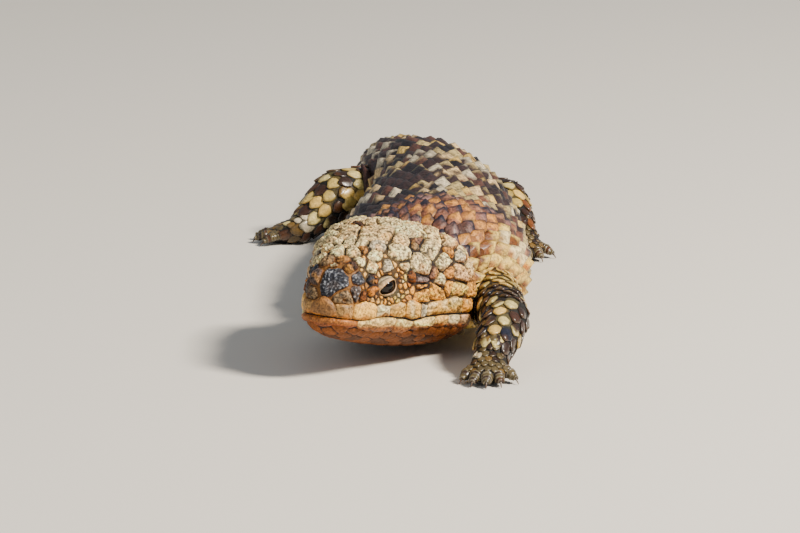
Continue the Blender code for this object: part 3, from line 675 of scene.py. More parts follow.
# coat of the trunk
coatLayout = {
    "rowStep": [(0, 3.6), (14, 4.2), (30, 5.4), (50, 6.8), (150, 7.2), (200, 6.6), (236, 4.6)],
    # distance behind the head, share of the pitch there
    "pitchShares": [(0, 0.70), (16, 0.80), (40, 1.0), (200, 0.98), (240, 0.78)],
    "pitch": 5.7, "length": 1.66, "width": 1.14, "rise": 2.1, "turn": 7,
    "begin": 1.5, "endRoom": 2.4, "neckRun": 32, "offSkin": 1.3, "pitchSlack": 0.09,
}

# pale patches of the back: distance behind the head, degrees from the spine (left is more than 0),
# half length, half spread
palePatches = [
    (27, 20, 3, 12), (35, 14, 4.5, 26), (44, 22, 6, 30), (56, 24, 6, 34), (74, 10, 5, 28), (52, -24, 4, 16),
    (68, -50, 8, 15), (88, 34, 4, 20), (101, 14, 5, 26), (96, -28, 4, 18), (38, 84, 3.4, 30), (47, 84, 3.2, 30),
    (57, 78, 3.0, 24), (40, -80, 4, 26), (54, -76, 4, 22), (12, 88, 17, 36), (12, -88, 15, 30),
]


def paleness(run, angle):
    degrees = math.degrees(angle)
    best = max(1 - ((run - r) / long) ** 2 - ((degrees - a) / wide) ** 2 for r, a, long, wide in palePatches)
    if run > 84:
        wobble = noise.noise(Vector((run / 16, angle * 1.4, 3.0))) * 8
        bars = math.sin((run + wobble) / 25 * 2 * math.pi + 0.6) + 0.3 * abs(math.sin(angle)) - 0.35
        best = max(best, bars * min(1, (run - 84) / 20))
    elif abs(degrees) > 58 and run > 60:
        best = max(best, math.sin(run / 12 * 2 * math.pi) - 0.2)
    return max(best, -1.2) + noise.noise(Vector((run / 6, angle * 3.4, 8.0))) * 0.6


def trunkTint(draw, run, angle):
    side = abs(math.degrees(angle))
    pale = paleness(run, angle) + draw.uniform(-0.2, 0.2)
    chance = draw.random()
    if side > 116:
        if chance < 0.75:
            return scaleTint(draw, "bellyCream", "bellyDark", 0.16, 0.5, front=0.8)
        return scaleTint(draw, "bellyDark", patch="bellyCream", patchLevel=0.1, front=0.8)
    if run < 30 and side > 52 and pale > -0.3:
        # side of the neck, between the head and the foreleg
        if chance < 0.6:
            return scaleTint(draw, draw.choice(["amber", "tan", "oliveTan"]), "darkBrown", 0.08, 0.6,
                             patch=draw.choice(["sideCream", "yellowCream", "cream"]), patchLevel=0.5,
                             front=0.15, sideShade=0.75)
        return scaleTint(draw, "orangeBrown", patch="yellowCream", patchLevel=0.1, rear="darkBrown",
                         rearWidth=0.14, front=0.2, sideShade=0.6)
    if run < 32 + 8 * noise.noise(Vector((angle * 2.2, 5.0, 1.0))):
        if chance < 0.2 + 0.25 * (side > 40):
            return scaleTint(draw, "rust", "blueBlack", 0.26, 0.95, patch="orangeTan", patchLevel=0.4,
                             tip="creamTan" if chance < 0.1 else None)
        return scaleTint(draw, "rust" if chance < 0.75 else "rustDark", "blueBlack", draw.uniform(0.28, 0.48),
                         0.97, patch=draw.choice(["neckTan", "neckRose"]), patchLevel=draw.uniform(0.0, 0.6),
                         tip="creamTan" if chance > 0.8 else None)
    dark = draw.choice(["backDark", "backDark", "backBlack", "rustDark", "backDark"])
    if run < 50 and angle > 0.4:
        dark = draw.choice(["rustDark", "backDark", "rust"])
    cream = draw.choice(["bandCream", "sideCream", "greyCream", "bandCream", "tanCream"])
    level = pale * 0.8 - (0.15 if angle < 0.2 else 0.04)
    return scaleTint(draw, dark, "blueBlack", 0.12, 0.85, patch=cream, patchLevel=level)


def layTrunk(draw):
    coats = {key: Coat(key) for key in ("neckScales", "trunkScales", "tailScales")}
    steps, shares = np.array(coatLayout["rowStep"]), np.array(coatLayout["pitchShares"])
    run, row, columns = coatLayout["begin"], 0, None
    while run < trunkLength - coatLayout["endRoom"]:
        step = float(splineAt(steps[:, 0], steps[:, 1], run))
        where = "neckScales" if run < coatLayout["neckRun"] else "trunkScales" if run < ventRun else "tailScales"
        coat = coats[where]
        turn = np.linspace(-math.pi, math.pi, 721)
        ring = bodySurface(np.full(721, run), turn)
        reach = np.concatenate([[0], np.cumsum(np.linalg.norm(np.diff(ring, axis=0), axis=1))])
        wanted = coatLayout["pitch"] * float(np.interp(run, shares[:, 0], shares[:, 1]))
        # the number of columns only changes where the pitch has gone far off
        if columns is None or abs(reach[-1] / columns / wanted - 1) > coatLayout["pitchSlack"]:
            columns = max(8, 2 * round(reach[-1] / wanted / 2))
        pitch = reach[-1] / columns
        for column in range(columns):
            place = (column + 0.5 * (row % 2) + draw.uniform(-0.06, 0.06)) * pitch
            angle = float(np.interp(place % reach[-1], reach, turn))
            at = run + draw.uniform(-0.06, 0.06) * step
            spot = bodySurface(at, angle)
            along = unit(bodySurface(min(at + 1, trunkLength), angle) - bodySurface(at - 1, angle))
            laid, normals = layOn(spot[None, :])
            if np.linalg.norm(laid[0] - spot) > coatLayout["offSkin"]:
                continue   # under a limb or inside the head
            normal = normals[0]
            lean = math.radians(draw.uniform(-1, 1) * coatLayout["turn"])
            across = unit(np.cross(along, normal))
            along = along * math.cos(lean) + across * math.sin(lean)
            belly = float(smoothStep((abs(math.degrees(angle)) - (96 if run > 40 else 124)) / 30))
            swollen = 0.6 * float(smoothStep((abs(math.degrees(angle)) - 50) / 20) * smoothStep((34 - run) / 8))
            rise = coatLayout["rise"] * draw.uniform(0.72, 1.1) * (1 + swollen) * (1 - 0.82 * belly)
            width = pitch * coatLayout["width"] * draw.uniform(0.94, 1.08)
            length = step * coatLayout["length"] * draw.uniform(0.94, 1.08) * (1 - 0.12 * belly)
            layScale(coat, laid[0], along, normal, width, length, rise, trunkTint(draw, at, angle),
                     uneven=scaleForm["uneven"] * (1 - 0.8 * belly))
        run += step
        row += 1
    return coats


# coat of the limbs and feet
limbCoat = {
    "columnWidth": 4.3, "rowStep": 4.2, "length": 1.26, "width": 0.96, "rise": 0.66,
    "pale": {
        "frontLeft": [(8, 2), (11, 8), (12, 0), (13, 8), (14, 0), (13, 6), (10, 1)], "frontRight": [],
        "hindLeft": [(6, 1), (7, 0), (7, 1), (8, 0), (6, 0), (7, 8), (7, 9)],
        "hindRight": [(4, 12), (4, 11), (5, 9), (6, 9), (5, 8), (4, 10), (4, 0), (6, 0), (6, 11), (8, 0), (8, 9),
                      (7, 9), (9, 6), (8, 8)],
    },
    "shoulderRows": 7,
    "dark": {
        "frontLeft": ["limbDark", "limbDark", "blueBlack", "darkBrown"],
        "frontRight": ["limbDark", "limbDark", "blueBlack", "darkBrown"],
        "hindLeft": ["limbDark", "brown", "darkBrown", "orangeBrown"],
        "hindRight": ["limbDark", "brown", "orangeBrown", "olive", "darkBrown"],
    },
    "paleShare": {"frontLeft": 0.04, "frontRight": 0.2, "hindLeft": 0.12, "hindRight": 0.08},
}


def limbTint(draw, name, row, column):
    chance = draw.random()
    if name.startswith("front") and row < limbCoat["shoulderRows"]:
        return scaleTint(draw, "amber" if chance < 0.8 else "darkBrown", "darkBrown", 0.08, 0.5,
                         patch=draw.choice(["sideCream", "yellowCream", "oliveCream"]), patchLevel=0.6, sideShade=0.3)
    if (row, column) in limbCoat["pale"][name] or chance < limbCoat["paleShare"][name]:
        return scaleTint(draw, draw.choice(["limbCream", "sideCream", "oliveCream"]), "oliveTan", 0.12, 0.5,
                         front=0.7)
    if chance > 0.9:
        return scaleTint(draw, "limbDark", patch="limbCream", patchLevel=-0.1)
    dark = draw.choice(limbCoat["dark"][name])
    return scaleTint(draw, dark, "toeGrey", 0.08, 0.3, patch="brown", patchLevel=-0.4)


def layLimbs(draw):
    coat, feet = Coat("limbScales"), Coat("footScales")
    for name, limb in limbs.items():
        joints = [np.array(j, float) for j in limb["joints"]]
        row = 0
        for part, (begin, end) in enumerate(zip(joints, joints[1:])):
            along = unit(end[:3] - begin[:3])
            length = np.linalg.norm(end[:3] - begin[:3])
            side = unit(np.cross(along, (0, 0, 1)))
            up = np.cross(side, along)
            at = 0.0
            while at < length + (3.6 if part else 0.0):
                radius = limbRadius(begin, end, min(at / length, 1))
                columns = max(8, round(2 * math.pi * radius / limbCoat["columnWidth"]))
                pitch = 2 * math.pi * radius / columns
                for column in range(columns):
                    angle = (column + 0.5 * (row % 2) + draw.uniform(-0.12, 0.12)) * 2 * math.pi / columns
                    outward = up * math.cos(angle) + side * math.sin(angle)
                    spot = begin[:3] + along * at + outward * radius
                    laid, normals = layOn(spot[None, :])
                    if np.linalg.norm(laid[0] - spot) > (2.0 if at > length else 1.2) or spot[2] < 0.6:
                        continue
                    size = draw.uniform(0.9, 1.16)
                    layScale(coat, laid[0], along, normals[0], pitch * limbCoat["width"] * size,
                             limbCoat["rowStep"] * limbCoat["length"] * size,
                             limbCoat["rise"] * draw.uniform(0.75, 1.2), limbTint(draw, name, row, column),
                             root=0.25, thickness=0.5, uneven=0.15)
                at += limbCoat["rowStep"]
                row += 1
        layFoot(feet, name, limb, draw)
    return coat, feet


def layFoot(coat, name, limb, draw):
    heel, ahead, side = footFrame(limb)
    pitch = 2.1
    row = 0
    reach = -3.0
    while reach < 10.0:
        width = float(np.interp(reach, [-3, 1, 4.8, 8.2, 10.2], [0.8, 0.92, 1.06, 1.0, 0.75])) * limb["palm"]
        count = int(width / pitch)
        for place in range(-count - 1, count + 2):
            across = (place + 0.5 * (row % 2)) * pitch
            if abs(across) > width * 1.04:
                continue
            above = toScene(heel + ahead * reach + side * across + np.array((0, 0, 30)))
            spot, _, face, _ = skinTree.ray_cast(Vector(above), Vector((0, 0, -1)))
            if spot is None:
                continue
            spot = np.array(spot) * 1000 - shift
            if spot[2] > 12:
                continue
            tone = draw.choice(["toeGrey", "limbDark", "toeGrey", "olive"])
            if reach < 4 and draw.random() < (0.5 if name == "hindRight" else 0.12):
                tone = draw.choice(["limbCream", "greyCream"])
            layScale(coat, spot, ahead, skinNormals[face], pitch * 1.15, pitch * 1.5,
                     0.4 * draw.uniform(0.8, 1.2), scaleTint(draw, tone, "tanCream", 0.10, 0.3),
                     root=0.15, thickness=0.3, uneven=0.0)
        reach += pitch * 0.92
        row += 1
    for i in range(5):
        layCuffs(coat, *digitLine(limb, i), draw)


def layCuffs(coat, base, forward, sideways, size, draw):
    # cross scales that wrap over the digit from one side to the other
    shape, outline = scaleShape, np.array(foot["digitShape"])
    steps = max(5, round(size * 1.1 / 0.92))
    for k in range(steps):
        at = size * (1.02 * k / (steps - 1))
        length = size / steps * 1.75
        reach = at + shape["y"] * length
        radius = np.interp(reach / size, outline[:, 0], outline[:, 2]) * foot["digitRadius"]
        height = np.interp(reach / size, outline[:, 0], outline[:, 1])
        turn = shape["u"] * math.radians(118) * np.where(shape["under"], 1.04, 1.0)
        lift = 0.02 + 0.30 * shape["rise"] / (1 - 0.36 * np.abs(shape["u"]) ** 2.4)
        lift = np.where(shape["under"], -0.35, lift)
        points = (base + np.outer(reach, forward) + np.outer(height + np.cos(turn) * (radius + lift), (0, 0, 1))
                  + np.outer(np.sin(turn) * (radius + lift), sideways))
        points[:, 2] = np.maximum(points[:, 2], 0.02)
        tone = "toeGrey" if k % 2 else draw.choice(["brown", "limbDark", "toeGrey"])
        tint = scaleTint(draw, tone, "greyCream", 0.12, 0.28, front=0.5, sideShade=0.1)
        coat.laid.append((points.mean(0), forward))
        tints = tint(shape["u"], shape["v"], shape["under"], points)
        coat.add(points, shape["faces"], tints, shape["map"], shape["cap"])


bareSkin = {"reach": 3.1, "width": 4.6, "length": 5.6, "rise": 0.6}


def fillBare(coat, coats, draw):
    # scales for skin that no row reached, at the folds of the limbs: each takes turn and tone of the nearest one
    laid = [(spot, along, mark[1]) for each in coats for (spot, along), mark in zip(each.laid, each.seeds)]
    tree = nearestTree([spot for spot, _, _ in laid])
    places = placesOf(skin) * 1000 - shift
    inHead = ((places - snout) @ headAxes.T)[:, 0] < headLength + 1
    added = []
    for place in places[~inHead & (places[:, 2] > 1.5)]:
        _, i, away = tree.find(place)
        if away < bareSkin["reach"] or any(np.linalg.norm(place - other) < bareSkin["reach"] for other in added):
            continue
        added.append(place)
        spot, normals = layOn(place[None, :])
        colour = laid[i][2] * draw.uniform(0.8, 1.2)

        def tint(u, v, under, placed):
            shade = np.interp(v, [-1, 0.2], [0.4, 1.0]) * (1 - 0.4 * np.abs(u) ** 3) * np.where(under, 0.3, 1)
            return colour[None, :] * shade[:, None]

        layScale(coat, spot[0], laid[i][1], normals[0], bareSkin["width"], bareSkin["length"],
                 bareSkin["rise"], tint, root=0.25, thickness=0.5, uneven=0.15)
    print("bare skin:", len(added), "scales more")


# opening of the eye and section of its lids
eyeBuild = {
    "tilt": 22, "halfLength": 3.15, "halfHeight": 1.6, "outer": (4.35, 2.95), "low": 0.3, "slide": 0.9,
    "pupil": 0.9, "iris": 1.8, "corneaRise": 0.05, "corneaWidth": 1.5,
    # across the lid, from under its edge out to the skin and back beneath: share of the way, height over the eye
    "section": [(0.05, -0.30), (-0.04, -0.05), (-0.02, 0.20), (0.08, 0.42), (0.22, 0.50), (0.36, 0.46),
                (0.48, 0.32), (0.56, 0.14), (0.63, 0.10), (0.72, 0.18), (0.84, 0.14), (0.94, -0.05),
                (1.0, -0.35), (0.9, -0.7), (0.6, -0.7), (0.3, -0.55)],
}


# plates of the head. Each: distance back, distance round from the crown, size, tone
headPlates = {
    "middle": [
        (1.9, 1.9, 4.7, "slate"), (4.6, 0.2, 0.9, "cream"), (6.0, -2.6, 1.9, "mottled"), (6.8, 1.4, 1.8, "tan"),
        (10.3, -1.8, 2.1, "cream"), (11.8, 2.1, 2.4, "cream"), (17.5, -1.8, 2.4, "cream"),
        (18.0, 1.5, 2.2, "cream"), (26.0, 2.9, 4.7, "tanCream"), (23.5, -5.8, 2.8, "tanCream"),
        (32.3, -6.7, 2.1, "darkBrown"), (28.3, -7.8, 2.9, "tanCream"), (35.0, -4.5, 3.4, "tanCream"),
        (38.3, 0.0, 4.0, "cream"), (17.0, -5.1, 1.9, "cream"), (25.3, -11.0, 2.4, "cream"),
        (42.3, -12.4, 3.4, "cream"), (45.5, -5.0, 3.4, "tanCream"), (47.0, 3.5, 3.6, "cream"),
        (2.6, -5.0, 2.6, "slateBrown"),
    ],
    "side": [
        (5.5, 4.6, 2.4, "darkBrown"), (5.9, 8.2, 2.1, "slate"), (4.9, 11.2, 1.9, "slateBrown"),
        (14.3, 4.2, 1.7, "tan"), (15.0, 7.7, 2.4, "cream"), (9.3, 6.2, 1.7, "cream"),
        (11.3, 9.6, 2.0, "cream"), (9.8, 11.9, 1.5, "slate"), (17.0, 13.0, 2.7, "greyCream"),
        (18.6, 6.1, 2.4, "greyCream"), (22.8, 12.1, 3.1, "cream"), (27.5, 9.2, 2.6, "tanCream"),
        (34.8, 8.9, 4.2, "cream"), (34.0, 16.5, 3.3, "cream"), (32.5, 12.6, 1.7, "mauve"),
        (30.0, 13.4, 1.3, "mottled"), (22.3, 16.0, 1.7, "cream"), (28.0, 18.9, 3.0, "cream"),
        (36.5, 22.3, 2.8, "cream"), (40.3, 13.8, 2.7, "tanCream"), (43.8, 17.5, 2.8, "tanCream"),
        (40.8, 20.1, 1.5, "tan"), (44.6, 22.6, 2.0, "greyCream"), (37.8, 25.5, 2.0, "orangeTan"),
        (42.8, 27.3, 2.6, "pinkCream"), (34.2, 26.0, 2.2, "cream"), (32.5, 28.8, 2.4, "amberCream"),
        (41.5, 32.0, 3.2, "yellowCream"), (27.3, 26.6, 2.4, "amberCream"), (26.8, 24.3, 1.5, "orangeTan"),
        (26.9, 22.5, 1.5, "greyMauve"), (24.0, 20.0, 1.6, "orangeBrown"), (32.3, 23.2, 1.5, "mauve"),
        (7.0, 14.2, 1.5, "orangeBrown"), (9.6, 15.2, 1.6, "amber"), (46.5, 9.5, 3.0, "tanCream"),
        (48.8, 14.6, 2.6, "cream"), (49.4, 20.5, 2.4, "tanCream"), (47.8, 26.0, 2.2, "tanCream"),
        (37.3, 29.0, 1.8, "amberCream"),
    ],
    "pitch": (2.2, 3.4),
    "rise": (0.8, 1.3), "root": 0.9, "groove": 0.46, "nubs": 0.34, "tilt": 0.17,
    "earClear": 2.6,
    # the nasal plate: place, size, then where the nostril is (distance back, height over the mouth)
    "nasal": (2.0, 8.2, 2.6), "nostril": (2.1, 5.0),
    # beads round the eye: away from the lid, how many, size
    "beadRings": [(0.75, 24, 0.5), (1.65, 26, 0.6), (2.65, 24, 0.75), (3.7, 20, 0.9), (4.9, 22, 1.0)],
    # what fills the rest: share of the local size, room to the neighbours
    "fill": [(0.8, 1.02), (0.5, 1.08), (0.27, 0.98)],
}


lips = {
    # from, to, height, tone
    "upper": [
        (0.6, 4.3, 4.0, "snoutTan"), (4.3, 12.2, 4.9, "goldCream"), (12.2, 17.0, 3.5, "cream"),
        (17.0, 22.4, 4.2, "goldCream"), (22.4, 27.4, 5.2, "goldCream"), (27.4, 29.6, 3.8, "greyCream"),
        (29.6, 37.6, 5.1, "goldCream"), (37.6, 43.6, 5.9, "sideCream"), (43.6, 50.0, 5.0, "amberCream"),
    ],
    "lower": [
        (0.6, 6.2, 2.2, "chinTan"), (6.2, 19.6, 3.9, "goldLight"),
        (19.6, 25.4, 4.4, "goldLight"), (25.4, 33.0, 3.0, "goldLight"), (33.0, 38.4, 2.7, "creamTan"),
        (38.4, 43.2, 3.0, "cream"), (43.2, 49.6, 3.4, "pinkCream"),
    ],
    "rostral": [(-4.6, 0.12), (4.6, 0.12), (4.7, 1.9), (3.1, 4.3), (0.2, 6.0), (-3.1, 4.3), (-4.7, 1.9)],
    "mental": [(4.7, -0.14), (-4.7, -0.14), (-4.5, -1.9), (-2.6, -3.2), (0, -3.7), (2.6, -3.2), (4.5, -1.9)],
    "gap": 0.06, "slit": 0.2,
}


def lipLine(d):
    return splineAt(waveTable[:, 0], waveTable[:, 1], d)


def lipReach(row, d):
    # how far a lip's row of plates reaches from the mouth
    return np.interp(d, [(a + b) / 2 for a, b, *_ in lips[row]], [tall for _, _, tall, _ in lips[row]])


def faceAt(d, up, side):
    # side of the head at a height over the mouth, less than 0 on the jaw
    half, crown, depth = headSize(d)
    over = np.clip(up / (crown - head["coatDepth"]), 0, 1)
    under = np.clip(-up / depth, 0, 1)
    share = np.where(up > 0, (1 - over ** head["crownRoundness"]) ** (1 / head["crownRoundness"]),
                     (1 - under ** head["jawRoundness"]) ** (1 / head["jawRoundness"]))
    return headPlace(d, side * (half - head["coatDepth"]) * share, up)


class Seed:
    def __init__(self, spot, size, tone, kind, arc=0.0):
        (self.spot,), (normal,) = layOn(np.array([spot], float))
        self.size, self.tone, self.kind, self.arc = size, tone, kind, abs(arc)
        self.across = unit(np.cross(headAxes[0], normal))
        self.along = unit(np.cross(normal, self.across))
        self.d, _, self.up = (self.spot - snout) @ headAxes.T

    def toSurface(self, flat):
        return layOn(self.spot + np.outer(flat[:, 0], self.across) + np.outer(flat[:, 1], self.along))

    def upward(self):
        return np.array((headAxes[2] @ self.across, headAxes[2] @ self.along))


class FrontSeed(Seed):
    # rostral and mental stand across the end of the snout
    def __init__(self, row, tone):
        self.outline = np.array(lips[row], float)
        middle = self.outline.mean(0)
        super().__init__(headPlace(-0.3, *middle), 2.1 if row == "rostral" else 1.9, tone, "lip")
        self.across, self.along = headAxes[1], headAxes[2]
        self.sign = 1 if row == "rostral" else -1

    def toSurface(self, flat):
        return layOn(headPlace(np.full(len(flat), -0.3), flat[:, 0], flat[:, 1]))


class LipSeed:
    # a labial lies in distance along the head and height over the mouth
    def __init__(self, row, begin, end, tone, side):
        self.side, self.sign, self.tone, self.kind, self.arc = side, 1 if row == "upper" else -1, tone, "lip", 0
        self.d, self.size = (begin + end) / 2, 1.0
        self.spot = faceAt(self.d, self.sign * 2.0, side)
        gap = lips["gap"] / 2
        d = np.linspace(begin + gap, end - gap, 10)
        share = np.sin(np.linspace(0, math.pi, 10))
        slit = lips["slit"] * (1 + 0.8 * smoothStep((self.d - 14) / 6))
        near = lipLine(d) + self.sign * (slit - 0.12 * share**2)
        scallop = 0.5 * (share - 0.6) + 0.22 * np.sin(d * 1.9) + 0.12 * np.sin(d * 4.1)
        far = self.sign * (lipReach(row, d) - gap + scallop)
        self.outline = np.concatenate([np.stack([d, near], -1), np.stack([d, far], -1)[::-1]])
        if side * self.sign < 0:
            self.outline = self.outline[::-1]

    def toSurface(self, flat):
        d, up = flat[:, 0], flat[:, 1]
        points = faceAt(d, up, self.side)
        back = faceAt(d + 0.3, up, self.side) - faceAt(np.maximum(d - 0.3, 0), up, self.side)
        over = faceAt(d, up + 0.15, self.side) - faceAt(d, up - 0.15, self.side)
        normals = unit(np.cross(back, over))
        outward = headAxes[1] * self.side
        return points, normals * np.sign(normals @ outward)[:, None]

    def upward(self):
        return np.array((0.0, 1.0))


def headSeeds(draw):
    seeds = []
    table = np.zeros((4000, 4))   # place and size of each seed so far

    def plant(seed):
        table[len(seeds)] = (*seed.spot, seed.size)
        seeds.append(seed)

    def farEnough(spot, size, share):
        done = table[:len(seeds)]
        return bool((np.linalg.norm(done[:, :3] - spot, axis=1) > share * (size + done[:, 3])).all())

    # the rostral's tone is partly its own brown, partly painted shade
    plant(FrontSeed("rostral", "snoutBrown"))
    plant(FrontSeed("mental", "chinTan"))
    ears = [sideFrame(head["ear"], side)[0] for side in (1, -1)]
    eyeFrames = [sideFrame(head["eye"], side) for side in (1, -1)]

    def besideLid(spot, room):
        # over 1 outside the lid's outline and some room round it
        shares = [9]
        for point, outward, backward, upward in eyeFrames:
            x, y = (spot - point) @ backward - eyeBuild["slide"], (spot - point) @ upward
            if abs((spot - point) @ outward) < 9:
                shares.append(math.hypot(x / (eyeBuild["outer"][0] + room), y / (eyeBuild["outer"][1] + room)))
        return min(shares)

    def clear(spot):
        return besideLid(spot, 1.9) > 1 and min(np.linalg.norm(spot - e) for e in ears) > headPlates["earClear"]

    # nasal plates carry the nostrils
    d, arc, size = headPlates["nasal"]
    for side in (1, -1):
        seed = Seed(headAtArc(d, arc * side), size, "mottled", "nasal")
        seed.nostril = layOn(np.array([sideFrame(headPlates["nostril"], side)[0]]))[0][0]
        plant(seed)
    for d, arc, size, tone in headPlates["middle"]:
        plant(Seed(headAtArc(d, arc), size, tone, "slate" if tone == "slate" else "crown", arc))
    for side in (1, -1):
        for d, arc, size, tone in headPlates["side"]:
            spot = headAtArc(d + (draw.uniform(-0.7, 0.7) if side < 0 else 0), arc * side)
            if besideLid(spot, 0.75 * size) < 1 or side < 0 and not farEnough(spot, size, 0.72):
                continue
            kind = "slate" if tone.startswith("slate") and size > 1.5 else "crown"
            plant(Seed(spot, size, tone, kind, arc))
    # beads round the eyes, in rings
    for point, _, backward, upward in eyeFrames:
        long, high = eyeBuild["outer"]
        for ring, (away, count, size) in enumerate(headPlates["beadRings"]):
            for k in range(count):
                angle = (k + 0.5 * ring + draw.uniform(-0.22, 0.22)) * 2 * math.pi / count
                reach = away + draw.uniform(-0.12, 0.12)
                spot = (point + backward * (math.cos(angle) * (long + reach) + eyeBuild["slide"])
                        + upward * math.sin(angle) * (high + reach))
                tone = draw.choice(["orangeTan", "tan", "creamTan", "amberCream", "amberCream", "amber"])
                if math.cos(angle) > 0.3 and math.sin(angle) < 0.5 and 0 < ring < 3:
                    tone = draw.choice(["yellowCream", "cream", "amberCream"])
                bead = Seed(spot, size * draw.uniform(0.75, 1.25), tone, "bead")
                if besideLid(bead.spot, 0.8) < 1 or ring and not farEnough(bead.spot, size, 0.74):
                    continue
                plant(bead)
    # whatever is still bare gets plates of the local size, then small ones in the last gaps
    for share, apart in headPlates["fill"]:
        for d in np.arange(2.6, 53.5, 0.9):
            size = float(np.interp(d, [0, headLength], headPlates["pitch"])) * share
            most = halfArc(d) - 0.6 * lipReach("upper", d)
            for arc in np.arange(-most, most + 0.1, 0.9):
                spot = headAtArc(d, arc + draw.uniform(-0.3, 0.3))
                if (spot - snout) @ headAxes[2] < lipReach("upper", d) + 0.4 * size:
                    continue
                if share < 0.3:
                    # the smallest only go round the eye
                    if besideLid(spot, 0.9) < 1 or besideLid(spot, 7.5) > 1 or not farEnough(spot, size, apart):
                        continue
                    plant(Seed(spot, size, draw.choice(["orangeTan", "creamTan", "amberCream", "tan"]), "bead"))
                elif clear(spot) and farEnough(spot, size, apart):
                    tone = draw.choice(["cream", "tanCream", "creamTan", "amberCream"] if abs(arc) < most * 0.6
                                       else ["amberCream", "creamTan", "orangeTan", "tan"])
                    if share < 0.6:
                        tone = draw.choice(["tanCream", "greyCream", "tan", "amberCream"])
                    plant(Seed(spot, size, tone, "crown", arc))
    # chin and throat: wide flat plates, smaller towards the neck; their tones are partly their own orange-brown,
    # partly painted shade of the underside
    for d in np.arange(2.5, 53.0, 1.5):
        for share in np.linspace(0.06, 0.94, 31):
            spot = jawSurface(d, math.pi * share)
            size = 2.3 if d < 30 else 1.8
            depth = (spot - snout) @ headAxes[2]
            if depth < -lipReach("lower", d) - 0.6 and farEnough(spot, size, 0.86):
                plant(Seed(spot, size, draw.choice(["chinOrange", "chinOrange", "chinBrown"]), "chin"))
    for row in ("upper", "lower"):
        for begin, end, _, tone in lips[row]:
            seeds += [LipSeed(row, begin, end, tone, side) for side in (1, -1)]
    return seeds


def clip(polygon, normal, reach):
    # keeps the part of a flat polygon on the near side of a line
    kept = []
    for a, b in zip(polygon, np.roll(polygon, -1, axis=0)):
        da, db = a @ normal - reach, b @ normal - reach
        if da <= 0:
            kept.append(a)
        if da * db < 0:
            kept.append(a + (b - a) * (da / (da - db)))
    return np.array(kept)


def outlineOf(seed, seeds, spots):
    # the flat outline of one plate: its share of the room between its neighbours
    if seed.kind == "lip":
        return seed.outline
    turn = np.linspace(0, 2 * math.pi, 24, endpoint=False)
    reach = 1.6 if seed.kind == "bead" else 2.1
    polygon = np.stack([np.cos(turn), np.sin(turn)], -1) * seed.size * reach
    groove = headPlates["groove"] * (1 if seed.kind in ("crown", "bead") else 0.3) / 2
    for k in np.nonzero(np.linalg.norm(spots - seed.spot, axis=1) < 3.2 * (seed.size + 5) + 3)[0]:
        other = seeds[k]
        if other is seed or isinstance(other, LipSeed):
            continue
        gap = other.spot - seed.spot
        length = np.linalg.norm(gap)
        if length > 3.2 * (seed.size + other.size) + 3 or length < 0.05:
            continue
        flat = np.array((gap @ seed.across, gap @ seed.along))
        if np.linalg.norm(flat) < 0.3 * length:
            continue
        room = length * seed.size / (seed.size + other.size) - groove
        polygon = clip(polygon, flat / np.linalg.norm(flat), room)
        if len(polygon) < 3:
            return None
    if seed.d > 0.8:
        upward = seed.upward()
        size = np.linalg.norm(upward)
        if size > 0.2 and seed.kind != "chin":
            polygon = clip(polygon, -upward / size, (seed.up - float(lipReach("upper", seed.d)) - groove) / size)
        elif size > 0.2:
            polygon = clip(polygon, upward / size, (-seed.up - float(lipReach("lower", seed.d)) - groove) / size)
    if len(polygon) < 3 or (np.ptp(polygon, axis=0) / 2).min() < (0.28 if seed.kind == "bead" else 0.55):
        return None
    return polygon


def rounded(polygon, count):
    for cut in (0.14, 0.25):
        after = np.roll(polygon, -1, axis=0)
        polygon = np.stack([polygon * (1 - cut) + after * cut, polygon * cut + after * (1 - cut)], 1)
        polygon = polygon.reshape(-1, 2)
    loop = np.concatenate([polygon, polygon[:1]])
    run = np.concatenate([[0], np.cumsum(np.linalg.norm(np.diff(loop, axis=0), axis=1))])
    at = np.linspace(0, run[-1], count, endpoint=False)
    return np.stack([np.interp(at, run, loop[:, k]) for k in (0, 1)], -1)


# share of the way in from the rim, share of the rise
plateProfile = np.array([(0, 0.05), (0.05, 0.34), (0.12, 0.58), (0.24, 0.80), (0.42, 0.95), (0.65, 1.02),
                         (1, 1.04)])
lipProfile = np.array([(0, 0.22), (0.08, 0.42), (0.22, 0.64), (0.45, 0.86), (0.7, 0.97), (1, 1.0)])
plateRise = {"crown": 1.0, "slate": 0.75, "nasal": 0.6, "lip": 1.15, "chin": 0.3, "bead": 0.4}
plateNubs = {"crown": 1.0, "slate": 0.34, "nasal": 0.4, "lip": 0.36, "chin": 0.2, "bead": 0.4}


